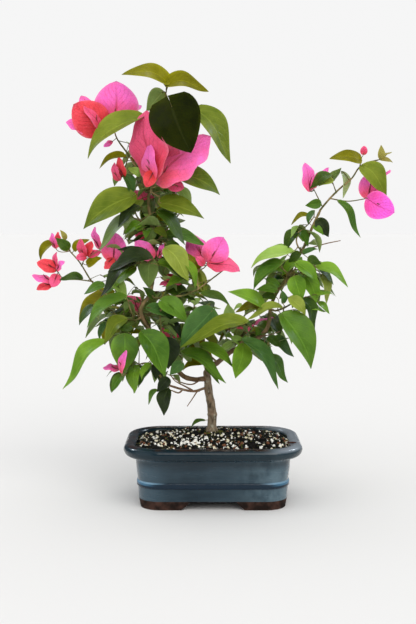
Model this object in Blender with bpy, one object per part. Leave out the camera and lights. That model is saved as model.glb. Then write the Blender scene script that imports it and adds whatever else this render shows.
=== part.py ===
"""Bougainvillea bonsai in a glazed rectangular pot, in metres, +Z up, its front towards -Y.

The plant is laid out from its front view. Plans give a place as (u, v, depth) in millimetres: u is the
distance right of the pot's middle and v the height above the ground, both as seen on the upright plane
through the pot's middle, and depth is how far behind that plane the place lies. seen() turns that into a
point in space along the sight line from EYE, so a limb or leaf can move in depth and keep the outline.

Every limb is one tapering solid. Every mass of foliage is one solid: a stem with side twigs, and stalked
leaves and bracts fused to it. A leaf that would touch a limb or another mass slides along its sight line
to a free place, and is left out where none is free.
"""

import math

import bpy
import bmesh
import numpy as np
from mathutils import Matrix, Vector
from mathutils.bvhtree import BVHTree

MM = 0.001
GAP = 0.3                        # air between two solids, mm
EYE = np.array((-5.7, -1200.0, 315.0))

# The pot, in millimetres: an 8 by 6 inch rectangular bonsai pot.
RIM_X = 101.7                    # half length over the rim
RIM_Y = 76.0                     # half width over the rim
RIM_CORNER = 43.0                # corner radius of the rim in plan
POT_HEIGHT = 72.0
RIM_BAND = 13.5                  # height of the rolled rim
BODY_IN = 13.7                   # the body's face behind the rim's outermost edge
BODY_TAPER = 3.6                 # the body narrows by this much to its foot
RIDGE_Z = 28.0
FOOT_HEIGHT = 9.5
WALL = 5.0
FLOOR_Z = 16.0
FOOT_GAP_X = 61.0                # opening between the front feet, at its middle height
FOOT_SLANT = 5.0                 # each side of that opening leans out by this much to the ground
FOOT_GAP_Y = 40.0                # opening between the feet on a short side
FOOT_WIDTH = 13.0
BELOW = 1.0                      # a cutter starts this far under the ground
DRAIN_RADIUS = 6.0
DRAIN_X = 45.0
CORNER_STEPS = 4

# The soil is mounded towards the trunk.
SOIL_EDGE_Z = 65.4
TRUNK_FOOT = (-1.0, 18.0, 74.4)
PATCH_RADIUS = 12.0              # the flat patch under the trunk
SWELL = 4.2                      # height of the soil's humps
SWELL_APART = 27.0               # from one hump to the next
TOP_SHARES = (0.24, 0.5, 0.78, 1.0)     # of the way from the pot's wall to the flat patch
SOIL_SIDE_STEPS = (4, 2)         # the soil's long and short sides are cut into this many

# Leaves and bracts. A blade's rings are (share of its length, share of its full width).
LEAF_THICK = 1.1
STALK_RADIUS = 0.75
SHORTEST_STALK = 2.5
RINGS = {"leaf": ((0.28, 1.0), (0.66, 0.6)), "bract": ((0.3, 1.0), (0.7, 0.72))}
SMALL_RINGS = ((0.47, 1.0),)
SMALL_BLADE = 37.0               # a blade shorter than this has the one ring
WIDTH_RATIO = {"leaf": 0.62, "bract": 0.75}
ARCH = {"leaf": 0.12, "bract": 0.08}    # rise of the midrib by the blade's length
OLIVE_LIFT = 0.07                # an olive leaf arches this much more
FOLD = math.radians(22)          # each half of the blade is folded up by this
SLIDES = (0, 6, -6, 12, -12, 18, -18, 25)

# Wood.
LIMB_SIDES = 7
STEM_RADII = (1.5, 0.9)
TWIG_RADII = (1.0, 0.75)
SPUR_RADII = (1.0, 0.6)

# The rule that fills a mass's space with leaves.
GOLDEN_ANGLE = math.radians(137.5)
RULE_LENGTH = (38, 56)
RULE_DROOP = (0.1, 1.0)
RULE_STALK = 11.0
RULE_TONES = ("green", "moss", "dark", "olive")
SWINGS = (0, 0.5, -0.5, 1.0, -1.0)
FLOWER_TONES = ("pink", "coral", "pink")
FLOWER_BRACT = 36.0
FLOWER_STALK = 9.0

# Colours, roughness.
FINISH = {
    "glaze": ((0.045, 0.085, 0.115), 0.25),
    "soil": ((0.035, 0.028, 0.022), 0.95),
    "bark": ((0.16, 0.11, 0.075), 0.85),
    "foliage": ((0.07, 0.17, 0.035), 0.45),
}
ROUND = ("glaze", "soil", "bark")       # finishes of the pieces that are shaded smooth
SHARP_ANGLE = math.radians(35)


# Points and curves

def unit(vector):
    return vector / np.linalg.norm(vector)


def seen(u, v, depth):
    """The point at this depth on the sight line through (u, v) on the pot's middle plane."""
    return EYE + (np.array((u, 0.0, v)) - EYE) * (depth - EYE[1]) / -EYE[1]


def as_seen(point):
    """(u, v) of a point, which is seen() turned round."""
    sight = EYE + (point - EYE) * EYE[1] / (EYE[1] - point[1])
    return sight[0], sight[2]


def smooth(points, steps=2):
    """A Catmull-Rom curve through the points, cut into this many stretches between each two."""
    points = np.array(points, dtype=float)
    ends = np.vstack((2 * points[0] - points[1], points, 2 * points[-1] - points[-2]))
    t = np.linspace(0, 1, steps, endpoint=False)[:, None]
    line = []
    for a, b, c, d in zip(ends, ends[1:], ends[2:], ends[3:]):
        line.append(0.5 * (2 * b + (c - a) * t + (2 * a - 5 * b + 4 * c - d) * t**2
                           + (3 * b - a - 3 * c + d) * t**3))
    return np.vstack(line + [points[-1:]])


def straight(points, steps):
    """The straight stretches between the points, each cut into this many."""
    shares = np.arange((len(points) - 1) * steps + 1) / steps
    return np.column_stack([np.interp(shares, np.arange(len(points)), column)
                            for column in points.T])


# Closed shapes as (points, triangles)

def loft(rings, tip=None):
    """A closed skin over rings of equal count, each turning left about the way to the next."""
    count = len(rings[0])
    points = np.vstack(rings if tip is None else list(rings) + [tip])
    faces = [(0, j + 1, j) for j in range(1, count - 1)]
    for i in range(len(rings) - 1):
        low, high = i * count, (i + 1) * count
        for j in range(count):
            k = (j + 1) % count
            faces += [(low + j, low + k, high + k), (low + j, high + k, high + j)]
    last = (len(rings) - 1) * count
    if tip is None:
        faces += [(last, last + j, last + j + 1) for j in range(1, count - 1)]
    else:
        faces += [(last + j, last + (j + 1) % count, len(points) - 1) for j in range(count)]
    return points, faces


def tube(line, radii, sides, heading=None):
    """A tube along the line. Its first end is square to the heading."""
    tangents = np.gradient(line, axis=0)
    if heading is not None:
        tangents[0] = heading
    across = np.array((0.31, -0.52, 0.8))
    turns = 2 * math.pi * np.arange(sides)[:, None] / sides
    rings = []
    for centre, tangent, radius in zip(line, tangents, radii):
        tangent = unit(tangent)
        across = unit(across - tangent * (across @ tangent))
        other = np.cross(tangent, across)
        rings.append(centre + radius * (np.cos(turns) * across + np.sin(turns) * other))
    return loft(rings)


def blade_ring(centre, side, up, half_width, thick):
    """Four points round a blade: ridge, right edge, underside and left edge, the edges folded up."""
    edge = half_width * math.cos(FOLD) * side
    rise = half_width * math.sin(FOLD) * up
    return np.array((centre + up * thick / 2, centre + edge + rise,
                     centre - up * thick / 2, centre - edge + rise))


def blade(leaf, grow=0.0):
    """A stalked leaf or bract: its stalk from the twig, then a folded, arched blade to a point.

    A small blade has one ring across it, and a large one has two."""
    base, tip, up = leaf["base"], leaf["tip"], leaf["up"]
    length = np.linalg.norm(tip - base)
    axis = (tip - base) / length
    side = np.cross(axis, up)
    stalk = leaf["start"] - base
    if np.linalg.norm(stalk) < SHORTEST_STALK:
        stalk = -SHORTEST_STALK * axis
    start = base + stalk
    way = unit(-stalk)
    start_up = unit(up - way * (up @ way) + 0.01 * side)
    start_side = np.cross(way, start_up)
    bend = unit(way + 1.2 * axis)
    bend_up = unit(up - bend * (up @ bend))
    arch = ARCH[leaf["kind"]] + (OLIVE_LIFT if leaf["tone"] == "olive" else 0.0)
    small = STALK_RADIUS + grow
    rings = [np.array((start + start_up * small, start + start_side * small,
                       start - start_up * small, start - start_side * small)),
             np.array((base + bend_up * small, base + np.cross(bend, bend_up) * small,
                       base - bend_up * small, base - np.cross(bend, bend_up) * small))]
    for share, width in SMALL_RINGS if length < SMALL_BLADE else RINGS[leaf["kind"]]:
        rise = arch * length * 4 * share * (1 - share)
        rings.append(blade_ring(base + axis * length * share + up * rise, side, up,
                                width * leaf["width"] / 2 + grow, LEAF_THICK + 2 * grow))
    return loft(rings, tip + axis * grow)


# What is already grown: a limb, twig or leaf keeps clear of what other nodes have

TAKEN = []


def take(owner, kind, shape):
    points, faces = shape
    tree = BVHTree.FromPolygons(points.tolist(), faces)
    TAKEN.append((owner, kind, tree, points.min(axis=0), points.max(axis=0)))


def is_free(owner, shape, own_kinds=()):
    """Whether the shape touches nothing of another owner, and none of these kinds of its own."""
    points, faces = shape
    low, high = points.min(axis=0), points.max(axis=0)
    tree = None
    for other, kind, other_tree, other_low, other_high in TAKEN:
        if other == owner and kind not in own_kinds:
            continue
        if (low > other_high).any() or (high < other_low).any():
            continue
        tree = tree or BVHTree.FromPolygons(points.tolist(), faces)
        if tree.overlap(other_tree):
            return False
    return True


# Limbs: name -> its axis and its radius along it

LIMBS = {}


def start_at_tip(parent):
    """The point one gap past a limb's tip, and the way it heads."""
    line, _ = LIMBS[parent]
    heading = unit(line[-1] - line[-2])
    return line[-1] + heading * GAP, heading


def start_on_side(parent, toward):
    """The point one gap off a limb's side, square to it, on the way to another point."""
    line, radii = LIMBS[parent]
    dense = smooth(line, 4)
    near = int(np.argmin(np.linalg.norm(dense - toward, axis=1)))
    near = min(max(near, 1), len(dense) - 2)
    along = unit(dense[near + 1] - dense[near - 1])
    heading = toward - dense[near]
    heading = unit(heading - along * (heading @ along))
    radius = np.interp(near / (len(dense) - 1), np.linspace(0, 1, len(radii)), radii)
    return dense[near] + heading * (radius * 1.03 + GAP), heading


def route_from(on, at_tip, places):
    """Points from a start on a limb through the places, and the heading at that start."""
    points = [seen(*place) for place in places]
    start, heading = start_at_tip(on) if at_tip else start_on_side(on, points[0])
    first = start + heading * min(2.5, 0.4 * np.linalg.norm(points[0] - start))
    return np.array([start, first] + points), heading


def limb(name, places, radii, on=None, at_tip=False, spurs=()):
    """A tapering limb through the places, with dead spurs. The radii are spread evenly along it."""
    if on is None:
        points = [seen(*place) for place in places]
        points[0] = np.array(TRUNK_FOOT)
        line, heading = smooth(points), np.array((0.0, 0.0, 1.0))
    else:
        route, heading = route_from(on, at_tip, places)
        line = smooth(route)
    shares = np.linspace(0, 1, len(line))
    widths = np.interp(shares, np.linspace(0, 1, len(radii)), radii)
    LIMBS[name] = line, widths
    shapes = [tube(line, widths, LIMB_SIDES, heading)]
    for spur in spurs:
        places = np.array([seen(*place) for place in spur])
        shapes.append(tube(places, np.linspace(*SPUR_RADII, len(spur)), 4))
    for shape in shapes:
        take(name, "wood", shape)
    return name, shapes, "bark"


# Masses of foliage

MASSES = []


def mass(name, on, stem, at_tip=False, twigs=(), leaves=(), bracts=(), more=0, flowers=0,
         space=None):
    """The plan of a mass. more and flowers grow by rule, inside space: u, v and depth ranges."""
    MASSES.append({"name": name, "on": on, "at_tip": at_tip, "stem": stem, "twigs": twigs,
                   "leaves": leaves, "bracts": bracts, "more": more, "flowers": flowers,
                   "space": space})


def grow_wood(plan):
    """The stem and twigs of a mass, as tubes and as the lines that leaves grow from."""
    line, heading = route_from(plan["on"], plan["at_tip"], plan["stem"])
    lines = [line] + [np.array([seen(*place) for place in twig]) for twig in plan["twigs"]]
    plan["lines"] = [straight(one, 5) for one in lines]
    plan["wood"] = [tube(line, np.linspace(*STEM_RADII, len(line)), 4, heading)]
    plan["wood"] += [tube(one, np.linspace(*TWIG_RADII, len(one)), 3) for one in lines[1:]]
    for shape in plan["wood"]:
        take(plan["name"], "wood", shape)


def nearest(lines, point):
    every = np.vstack([line[1:] for line in lines])
    return every[np.argmin(np.linalg.norm(every - point, axis=1))]


def turned(vector, axis, angle):
    return np.array(Matrix.Rotation(angle, 3, Vector(axis)) @ Vector(vector))


def face_up(base, tip, shown, width):
    """The way a blade's upper side faces, where this much of its width shows from the front."""
    axis = unit(tip - base)
    sight = unit(EYE - (base + tip) / 2)
    front = unit(sight - axis * (sight @ axis))
    if shown < 0:
        front = -front
    roll = math.acos(min(1.0, abs(shown) / width))
    sky = np.array((0.35 * np.sign(base[0]), 0.0, 1.0))
    return max((turned(front, axis, way * roll) for way in (1, -1)), key=lambda up: up @ sky)


def leaf_at(plan, row, slide, kind):
    """A planned leaf or bract: tone, (u, v) of base and tip, width shown, depth and lean."""
    tone, u0, v0, u1, v1, shown, depth, lean = row
    base = seen(u0, v0, depth + slide)
    tip = seen(u1, v1, depth + slide + lean)
    length = np.linalg.norm(tip - base)
    width = max(abs(shown), min(WIDTH_RATIO[kind] * length, 1.9 * abs(shown)))
    return {"kind": kind, "tone": tone, "start": nearest(plan["lines"], base), "base": base,
            "tip": tip, "up": face_up(base, tip, shown, width), "width": width}


def settle(plan, choices, kind):
    """Keeps the first of the choices that is free, first also of this mass's other leaves."""
    own = ("leaf", "bract") if kind == "leaf" else ("leaf",)
    for own_kinds in (own, ()):
        for leaf in choices:
            if is_free(plan["name"], blade(leaf, GAP), own_kinds):
                take(plan["name"], kind, blade(leaf))
                plan["grown"].append(leaf)
                return


def inside(space, point):
    """Whether a point lies in the egg that fills the space."""
    u, v = as_seen(point)
    return sum(((value - (low + high) / 2) / ((high - low) / 2)) ** 2
               for value, (low, high) in zip((u, v, point[1]), space)) < 1


def rule_leaf(root, turn, drop, stalk, length, kind, tone):
    """A leaf that stands out from the root at this turn about the upright, and droops."""
    out = np.array((math.cos(turn) * math.cos(drop), math.sin(turn) * math.cos(drop),
                    -math.sin(drop)))
    base = root + out * stalk + np.array((0.0, 0.0, 0.2 * stalk))
    tip = base + out * length
    up = unit(np.array((0.0, 0.0, 1.0)) - out * out[2] + 0.02 * out)
    up = unit(up - out * (up @ out))
    return {"kind": kind, "tone": tone, "start": root, "base": base, "tip": tip, "up": up,
            "width": length * WIDTH_RATIO[kind]}


def grow_by_rule(plan, seed):
    """More leaves by the golden angle along the stem, then flowers of three bracts."""
    rng = np.random.default_rng(seed)
    line = np.vstack(plan["lines"])
    last = len(line) - 1
    for i in range(plan["more"]):
        root = line[int((0.2 + 0.8 * (i + 0.5) / plan["more"]) * last)]
        turn = GOLDEN_ANGLE * i + rng.uniform(-0.3, 0.3)
        drop, length = rng.uniform(*RULE_DROOP), rng.uniform(*RULE_LENGTH)
        tone = RULE_TONES[i % len(RULE_TONES)]
        choices = [rule_leaf(root, turn + swing, drop, RULE_STALK, length, "leaf", tone)
                   for swing in SWINGS]
        settle(plan, [leaf for leaf in choices if inside(plan["space"], leaf["tip"])], "leaf")
    for i in range(plan["flowers"]):
        root = line[int((0.45 + 0.5 * i / plan["flowers"]) * last)]
        for j, tone in enumerate(FLOWER_TONES):
            turn = GOLDEN_ANGLE * i + 2 * math.pi * j / len(FLOWER_TONES)
            bract = rule_leaf(root, turn, -0.5, FLOWER_STALK, FLOWER_BRACT, "bract", tone)
            if inside(plan["space"], bract["tip"]):
                settle(plan, [bract], "bract")


def grow_leaves(plan, seed):
    plan["grown"] = []
    for kind, rows in (("bract", plan["bracts"]), ("leaf", plan["leaves"])):
        for row in rows:
            settle(plan, [leaf_at(plan, row, slide, kind) for slide in SLIDES], kind)
    if plan["space"]:
        grow_by_rule(plan, seed)


# The plant's own limbs and masses

def plan_limbs():
    """Trunk, leader and boughs, each from its foot to its tip, with radii in millimetres."""
    return (
        limb("trunk", [(-1, 78, 18), (-1, 84, 18), (-1, 101, 18), (-4, 121, 17), (-6, 139, 15),
                       (-6, 150, 14)], (6.8, 5.3, 5.0, 4.6, 4.2, 3.9)),
        limb("leader_lower", [(-23, 140, 13), (-37, 146, 11), (-56, 172, 5), (-71, 194, 0),
                              (-83, 216, -4)], (2.9, 2.6, 2.4), on="trunk"),
        limb("leader_upper", [(-81, 228, -3), (-73, 238, -1), (-70, 253, 1), (-67, 269, 3),
                              (-67, 289, 5), (-70, 312, 6), (-72, 329, 6), (-74, 343, 5),
                              (-73, 359, 3)], (2.4, 2.0, 1.6), on="leader_lower", at_tip=True),
        limb("low_bough", [(-22, 126, 6), (-35, 128, 0), (-52, 133, -10)], (1.5, 1.2), on="trunk",
             spurs=[[(-18, 126, 7), (-24, 117, 4), (-30, 108, 2)]]),
        limb("right_bough", [(7, 161, 11), (21, 172, 7), (35, 179, 3), (48, 185, 0), (60, 195, -3)],
             (3.2, 2.6, 2.3), on="trunk", at_tip=True, spurs=[[(54, 190, -2), (66, 192, 2), (78, 196, 4)]]),
        limb("right_upper", [(65, 207, -4), (66, 218, -4), (69, 231, -3), (76, 245, -2),
                             (87, 260, 0), (94, 277, 2), (103, 290, 3), (115, 318, 5),
                             (122, 333, 6)],
             (2.3, 1.9, 1.4), on="right_bough", at_tip=True,
             spurs=[[(106, 290, 3), (128, 297, 5), (147, 301, 3)]]),
    )


def plan_masses():
    """Masses of foliage, front ones first.

    A leaf or bract is tone, u and v of its base and of its tip, the width that shows (negative where its
    underside shows), the depth of its base, and how much deeper its tip lies."""
    mass("crown_top", on="leader_upper", at_tip=True,
         stem=[(-71, 376, 1), (-67, 395, -2), (-60, 427, -6), (-56, 452, -9), (-53, 472, -10)],
         leaves=[("olive", -53, 481, -104, 489, 17, -10, 0),
                 ("olive", -51, 478, -5, 470, 17, -10, 6),
                 ("pale", -57, 470, -76, 448, -22, 0, 12),
                 ("deep", -50, 461, -25, 401, 57, -42, -2),
                 ("moss", -19, 449, 20, 389, 26, 0, 10),
                 ("moss", -83, 440, -143, 394, 21, -18, -6)])
    mass("bloom_top", on="leader_upper",
         stem=[(-80, 363, -2), (-84, 377, -4), (-97, 399, -4), (-109, 416, -2), (-113, 427, 0)],
         twigs=[[(-97, 397, -4), (-100, 386, -8), (-104, 376, -8)]],
         leaves=[("olive", -101, 396, -130, 383, 8, 0, 0),
                 ("olive", -93, 395, -77, 387, 9, 4, 4),
                 ("grey", -105, 379, -113, 363, 9, 2, 4),
                 ("teal", -102, 375, -92, 351, 12, -12, 2),
                 ("grey", -84, 375, -98, 384, 9, -8, 0)],
         bracts=[("pink", -112, 434, -110, 482, 51, 6, -6),
                 ("coral", -124, 426, -159, 456, 42, -2, -8),
                 ("pink", -128, 430, -151, 465, 23, 6, 4),
                 ("crimson", -129, 428, -147, 454, 10, -14, -4),
                 ("pink", -136, 428, -168, 436, 15, 2, 4),
                 ("pink", -108, 434, -81, 454, 14, 14, 8),
                 ("crimson", -107, 370, -113, 390, 9, -10, 2),
                 ("coral", -102, 374, -108, 396, 10, -12, -4),
                 ("pink", -115, 414, -125, 408, 6, 2, 0)])
    mass("crown_heart", on="leader_upper",
         stem=[(-72, 354, -8), (-70, 361, -18), (-66, 368, -28)],
         twigs=[[(-71, 357, -12), (-61, 350, -12)],
                [(-70, 361, -18), (-54, 367, -14)]],
         leaves=[("moss", -40, 377, 8, 353, 23, -8, 8),
                 ("olive", -61, 344, -10, 326, 20, -14, 4),
                 ("olive", -63, 338, -54, 331, 9, -10, 4)],
         bracts=[("crimson", -68, 374, -75, 449, 38, -18, 12),
                 ("pink", -69, 370, -72, 412, 16, -32, -4),
                 ("pink", -64, 370, -2, 419, 41, -22, 0),
                 ("crimson", -65, 372, -39, 413, 28, -14, 8),
                 ("coral", -68, 380, -77, 362, 15, -38, -4),
                 ("crimson", -52, 367, -33, 361, 15, -14, -4)])
    mass("crown_left", on="leader_upper",
         stem=[(-80, 321, -6), (-88, 330, -12), (-91, 343, -14)],
         twigs=[[(-80, 321, -6), (-93, 328, -14)]],
         leaves=[("bright", -93, 351, -149, 314, 31, -16, -4),
                 ("deep", -86, 339, -109, 316, 14, -26, -6),
                 ("grey", -94, 328, -132, 289, 13, -22, -6),
                 ("bright", -83, 319, -102, 309, 10, -14, 0)])
    mass("bloom_left", on="leader_upper",
         stem=[(-77, 275, -5), (-93, 275, -8), (-112, 277, -6)],
         twigs=[[(-93, 275, -8), (-98, 272, -18)]],
         leaves=[("deep", -79, 282, -111, 290, 9, -14, -2),
                 ("olive", -73, 280, -121, 265, 17, -18, -2),
                 ("deep", -91, 274, -130, 236, 14, -28, -8),
                 ("grey", -69, 314, -77, 298, 13, 6, 0),
                 ("grey", -73, 279, -74, 246, 22, 8, 2),
                 ("green", -90, 268, -127, 236, 19, -4, 0)],
         bracts=[("pink", -115, 277, -112, 310, 29, -4, 4),
                 ("pink", -131, 292, -136, 317, 8, 2, 4),
                 ("coral", -115, 281, -125, 268, 10, -8, -4),
                 ("coral", -69, 281, -90, 300, 19, -8, -2),
                 ("pink", -63, 282, -52, 298, 8, -2, 0)])
    mass("crown_right", on="leader_upper",
         stem=[(-61, 303, -2), (-49, 319, 0), (-35, 336, 4)],
         twigs=[[(-61, 303, -2), (-54, 297, -14)],
                [(-54, 297, -14), (-31, 279, -16)]],
         leaves=[("dark", -62, 333, -32, 296, 15, -16, -2),
                 ("green", -53, 306, -7, 294, 14, -8, 0),
                 ("dark", -54, 297, -33, 275, 15, -16, 0),
                 ("grey", -54, 292, -28, 254, 24, -26, -2),
                 ("teal", -32, 277, -21, 246, 9, -20, 0),
                 ("dark", -66, 314, -52, 304, 9, -6, -4),
                 ("olive", -65, 327, -53, 323, 7, 2, 4),
                 ("bright", -63, 274, -28, 253, 14, -14, -2)],
         bracts=[("crimson", -54, 260, -36, 251, 10, 0, 0),
                 ("crimson", -47, 253, -62, 250, 6, -4, 0)])
    mass("bloom_right", on="leader_upper",
         stem=[(-67, 235, -7), (-54, 235, -9), (-33, 238, -10), (-19, 244, -10), (3, 260, -8),
               (17, 271, -6)],
         twigs=[[(-17, 246, -10), (-18, 264, -6), (-11, 269, -4), (-6, 274, -2)],
                [(-18, 262, -6), (-25, 280, -4)]],
         leaves=[("olive", -20, 266, -29, 286, 10, -4, 0),
                 ("olive", -17, 264, -9, 238, 12, -2, 4),
                 ("dark", -13, 238, 20, 225, 10, -14, -2),
                 ("olive", -29, 266, -24, 286, 13, 4, 2),
                 ("moss", -26, 267, -7, 237, 16, 0, 2),
                 ("dark", -69, 235, -81, 247, 9, 8, 0)],
         bracts=[("pink", -10, 277, -26, 308, 26, 4, 8),
                 ("pink", -5, 276, 12, 305, 31, -4, -4),
                 ("coral", -5, 275, 31, 265, 17, -8, -4),
                 ("pink", -12, 275, -30, 297, 20, 10, 4),
                 ("crimson", -10, 273, -20, 282, 9, -10, -2)])
    mass("left_spray", on="leader_lower",
         stem=[(-89, 218, -1), (-102, 227, 1), (-125, 240, -4), (-140, 254, -8), (-153, 275, -8),
               (-165, 289, -6)],
         twigs=[[(-140, 254, -8), (-156, 256, -12), (-172, 257, -14), (-180, 266, -15)],
                [(-151, 273, -8), (-147, 283, -9)]],
         leaves=[("olive", -184, 298, -198, 277, 9, -2, 0),
                 ("dark", -166, 292, -181, 304, 12, -14, -4),
                 ("young", -170, 302, -176, 313, 6, -8, 0),
                 ("dark", -152, 257, -179, 256, 9, -18, -2),
                 ("olive", -159, 290, -142, 302, 9, 0, 4),
                 ("olive", -144, 273, -128, 281, 10, -4, 0),
                 ("green", -126, 250, -149, 239, 10, -12, -2)],
         bracts=[("pink", -181, 292, -185, 310, 7, -8, 0),
                 ("coral", -177, 294, -179, 311, 7, -4, 2),
                 ("coral", -181, 268, -203, 276, 15, -14, -6),
                 ("crimson", -181, 269, -180, 288, 6, -12, 2),
                 ("pink", -180, 267, -171, 277, 7, -16, -4),
                 ("pink", -186, 254, -209, 261, 9, -14, 0),
                 ("crimson", -180, 262, -186, 247, 13, -18, -6),
                 ("coral", -184, 251, -204, 245, 10, -14, -2),
                 ("crimson", -147, 283, -153, 303, 10, -10, -4),
                 ("coral", -146, 284, -139, 300, 10, -10, -4),
                 ("crimson", -146, 283, -158, 281, 9, -13, -4),
                 ("crimson", -145, 284, -129, 288, 9, -6, 4)])
    mass("left_lower", on="leader_lower",
         stem=[(-91, 209, -8), (-103, 210, -12), (-109, 200, -15), (-121, 186, -18)],
         twigs=[[(-91, 209, -8), (-96, 223, -20), (-99, 234, -23)],
                [(-109, 200, -15), (-103, 193, -24)]],
         leaves=[("teal", -102, 235, -146, 199, 14, -26, -6),
                 ("olive", -116, 239, -155, 207, 19, -12, -6),
                 ("dark", -139, 225, -155, 203, 9, -10, 0),
                 ("green", -101, 209, -126, 182, 16, -18, -2),
                 ("bright", -125, 182, -175, 128, 15, -22, -6),
                 ("green", -102, 191, -105, 147, 31, -28, -2),
                 ("dark", -95, 203, -107, 196, 9, -22, -2),
                 ("grey", -89, 206, -119, 193, -16, -6, 4),
                 ("teal", -124, 205, -131, 185, 7, -10, 0),
                 ("olive", -103, 206, -119, 193, 13, -2, 0),
                 ("dark", -108, 203, -95, 196, 9, -22, -2)])
    mass("skirt_left", on="low_bough", at_tip=True,
         stem=[(-63, 146, -15), (-74, 158, -18), (-86, 157, -20), (-99, 148, -20)],
         twigs=[[(-57, 139, -13), (-51, 130, -18)]],
         leaves=[("grey", -88, 177, -105, 137, 9, -30, -4),
                 ("green", -105, 145, -118, 124, 10, -26, -4),
                 ("bright", -87, 155, -92, 123, 14, -28, 0),
                 ("green", -72, 157, -87, 131, 8, -20, -2),
                 ("bright", -73, 158, -83, 139, 7, -27, -2),
                 ("deep", -64, 159, -67, 140, 12, -22, 2),
                 ("deep", -52, 141, -65, 125, 13, -19, -4),
                 ("deep", -52, 128, -57, 97, 16, -20, 0),
                 ("green", -65, 127, -75, 110, 6, -14, 0),
                 ("bright", -92, 160, -90, 124, 12, -14, 0),
                 ("dark", -107, 146, -119, 125, 10, -16, 0),
                 ("bright", -72, 155, -87, 130, 9, -26, -2),
                 ("deep", -55, 160, -62, 136, 12, -8, 0)],
         bracts=[("pink", -106, 148, -101, 174, 8, -40, -2),
                 ("pink", -109, 151, -128, 153, 8, -19, 0),
                 ("coral", -106, 146, -117, 137, 7, -18, 4)])
    mass("centre_front", on="leader_lower",
         stem=[(-59, 184, -10), (-60, 198, -16), (-61, 215, -16), (-58, 228, -14)],
         twigs=[[(-60, 193, -15), (-73, 195, -26), (-80, 194, -32)],
                [(-59, 184, -10), (-38, 167, -18)]],
         leaves=[("green", -81, 193, -56, 143, 29, -36, -4),
                 ("deep", -54, 188, -52, 152, 28, -18, 0),
                 ("green", -60, 231, -30, 207, 21, -14, 0),
                 ("dark", -52, 243, -20, 232, 14, -6, 2),
                 ("teal", -76, 223, -47, 211, 13, -12, -2),
                 ("olive", -64, 205, -42, 188, -13, -12, 2),
                 ("deep", -51, 206, -37, 188, 9, -4, 0),
                 ("teal", -36, 159, -50, 145, 13, -24, -2),
                 ("green", -53, 232, -34, 207, 13, -8, 0),
                 ("moss", -86, 181, -92, 148, 9, -16, -2)])
    mass("centre_right", on="right_bough",
         stem=[(-5, 170, -2), (-10, 184, -8), (-8, 202, -14), (0, 216, -20)],
         twigs=[[(-8, 200, -14), (15, 198, -26), (35, 203, -32)],
                [(-8, 174, -5), (-27, 172, -14)]],
         leaves=[("teal", -1, 220, -38, 178, 31, -26, -4),
                 ("olive", 37, 206, -38, 177, 17, -36, -4),
                 ("teal", 19, 210, 17, 228, 13, -20, 2),
                 ("dark", -34, 170, 15, 135, 15, -18, -4),
                 ("bright", -13, 179, 24, 153, 13, -14, -4),
                 ("green", -9, 152, 8, 134, 7, -12, 0),
                 ("green", -5, 189, -34, 179, 9, -16, 0),
                 ("olive", -12, 158, -35, 150, 9, -6, 0)])
    mass("right_low", on="right_bough",
         stem=[(30, 180, -6), (35, 184, -14), (50, 179, -14), (63, 177, -12)],
         leaves=[("green", 35, 179, 26, 141, 22, -20, 0),
                 ("olive", 22, 188, 44, 167, 10, -20, -4),
                 ("teal", 35, 184, 76, 128, 16, -28, -6),
                 ("green", 64, 166, 87, 136, 14, -14, 0),
                 ("teal", 69, 187, 94, 166, 13, -12, 0),
                 ("dark", 64, 188, 79, 178, 10, -6, 2),
                 ("dark", 52, 184, 67, 168, 9, -8, 0)])
    mass("right_mid", on="right_upper",
         stem=[(73, 220, -10), (82, 223, -16), (96, 231, -17), (108, 236, -14)],
         twigs=[[(73, 220, -10), (58, 222, -14)],
                [(82, 223, -16), (81, 214, -24)]],
         leaves=[("bright", 57, 225, 17, 242, 15, -14, -2),
                 ("olive", 54, 222, 26, 218, 10, -8, 0),
                 ("green", 81, 214, 114, 152, 31, -30, -6),
                 ("straw", 89, 235, 107, 214, 14, -24, -4),
                 ("straw", 79, 223, 39, 209, 9, -22, -2),
                 ("teal", 81, 229, 79, 244, 7, -22, 0),
                 ("dark", 105, 232, 118, 199, 13, -18, 0),
                 ("bright", 122, 229, 135, 216, 7, -6, 0),
                 ("dark", 72, 236, 54, 235, 9, -8, 2)])
    mass("right_fore", on="right_upper",
         stem=[(91, 260, -8), (104, 265, -12), (119, 267, -11)],
         twigs=[[(91, 260, -8), (82, 267, -12), (78, 274, -14)]],
         leaves=[("bright", 94, 259, 103, 231, 21, -20, -2),
                 ("bright", 107, 260, 120, 229, 17, -12, 0),
                 ("deep", 110, 261, 121, 240, 10, -18, -2),
                 ("lime", 125, 260, 131, 227, 10, -4, 2),
                 ("green", 76, 249, 59, 257, 8, -10, 0),
                 ("green", 73, 243, 50, 244, 10, -10, 0),
                 ("dark", 78, 276, 47, 244, 15, -18, -4),
                 ("grey", 80, 275, 49, 247, 10, -26, -4),
                 ("green", 96, 276, 80, 260, 10, 4, 0),
                 ("moss", 119, 272, 135, 253, 10, 6, 2),
                 ("bright", 120, 269, 156, 247, 12, -10, 0),
                 ("bright", 97, 274, 121, 251, 14, -20, -4)])
    mass("arm_leaves", on="right_upper",
         stem=[(98, 294, -5), (96, 302, -8), (99, 311, -8)],
         twigs=[[(99, 311, -8), (109, 319, -6), (116, 328, -7)]],
         leaves=[("olive", 110, 328, 90, 319, 6, -8, 0),
                 ("teal", 116, 335, 110, 319, 7, -10, -2),
                 ("deep", 121, 325, 133, 305, 15, -8, 0),
                 ("bright", 115, 317, 127, 307, 7, -12, -2),
                 ("lime", 90, 287, 44, 269, 13, -12, 0),
                 ("dark", 98, 311, 82, 288, 13, -10, 0),
                 ("green", 99, 313, 109, 294, 10, -12, -2),
                 ("teal", 104, 286, 121, 291, 6, -8, 0),
                 ("dark", 110, 281, 125, 274, 10, -8, 0),
                 ("dark", 99, 287, 87, 276, 10, -8, 0)])
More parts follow.
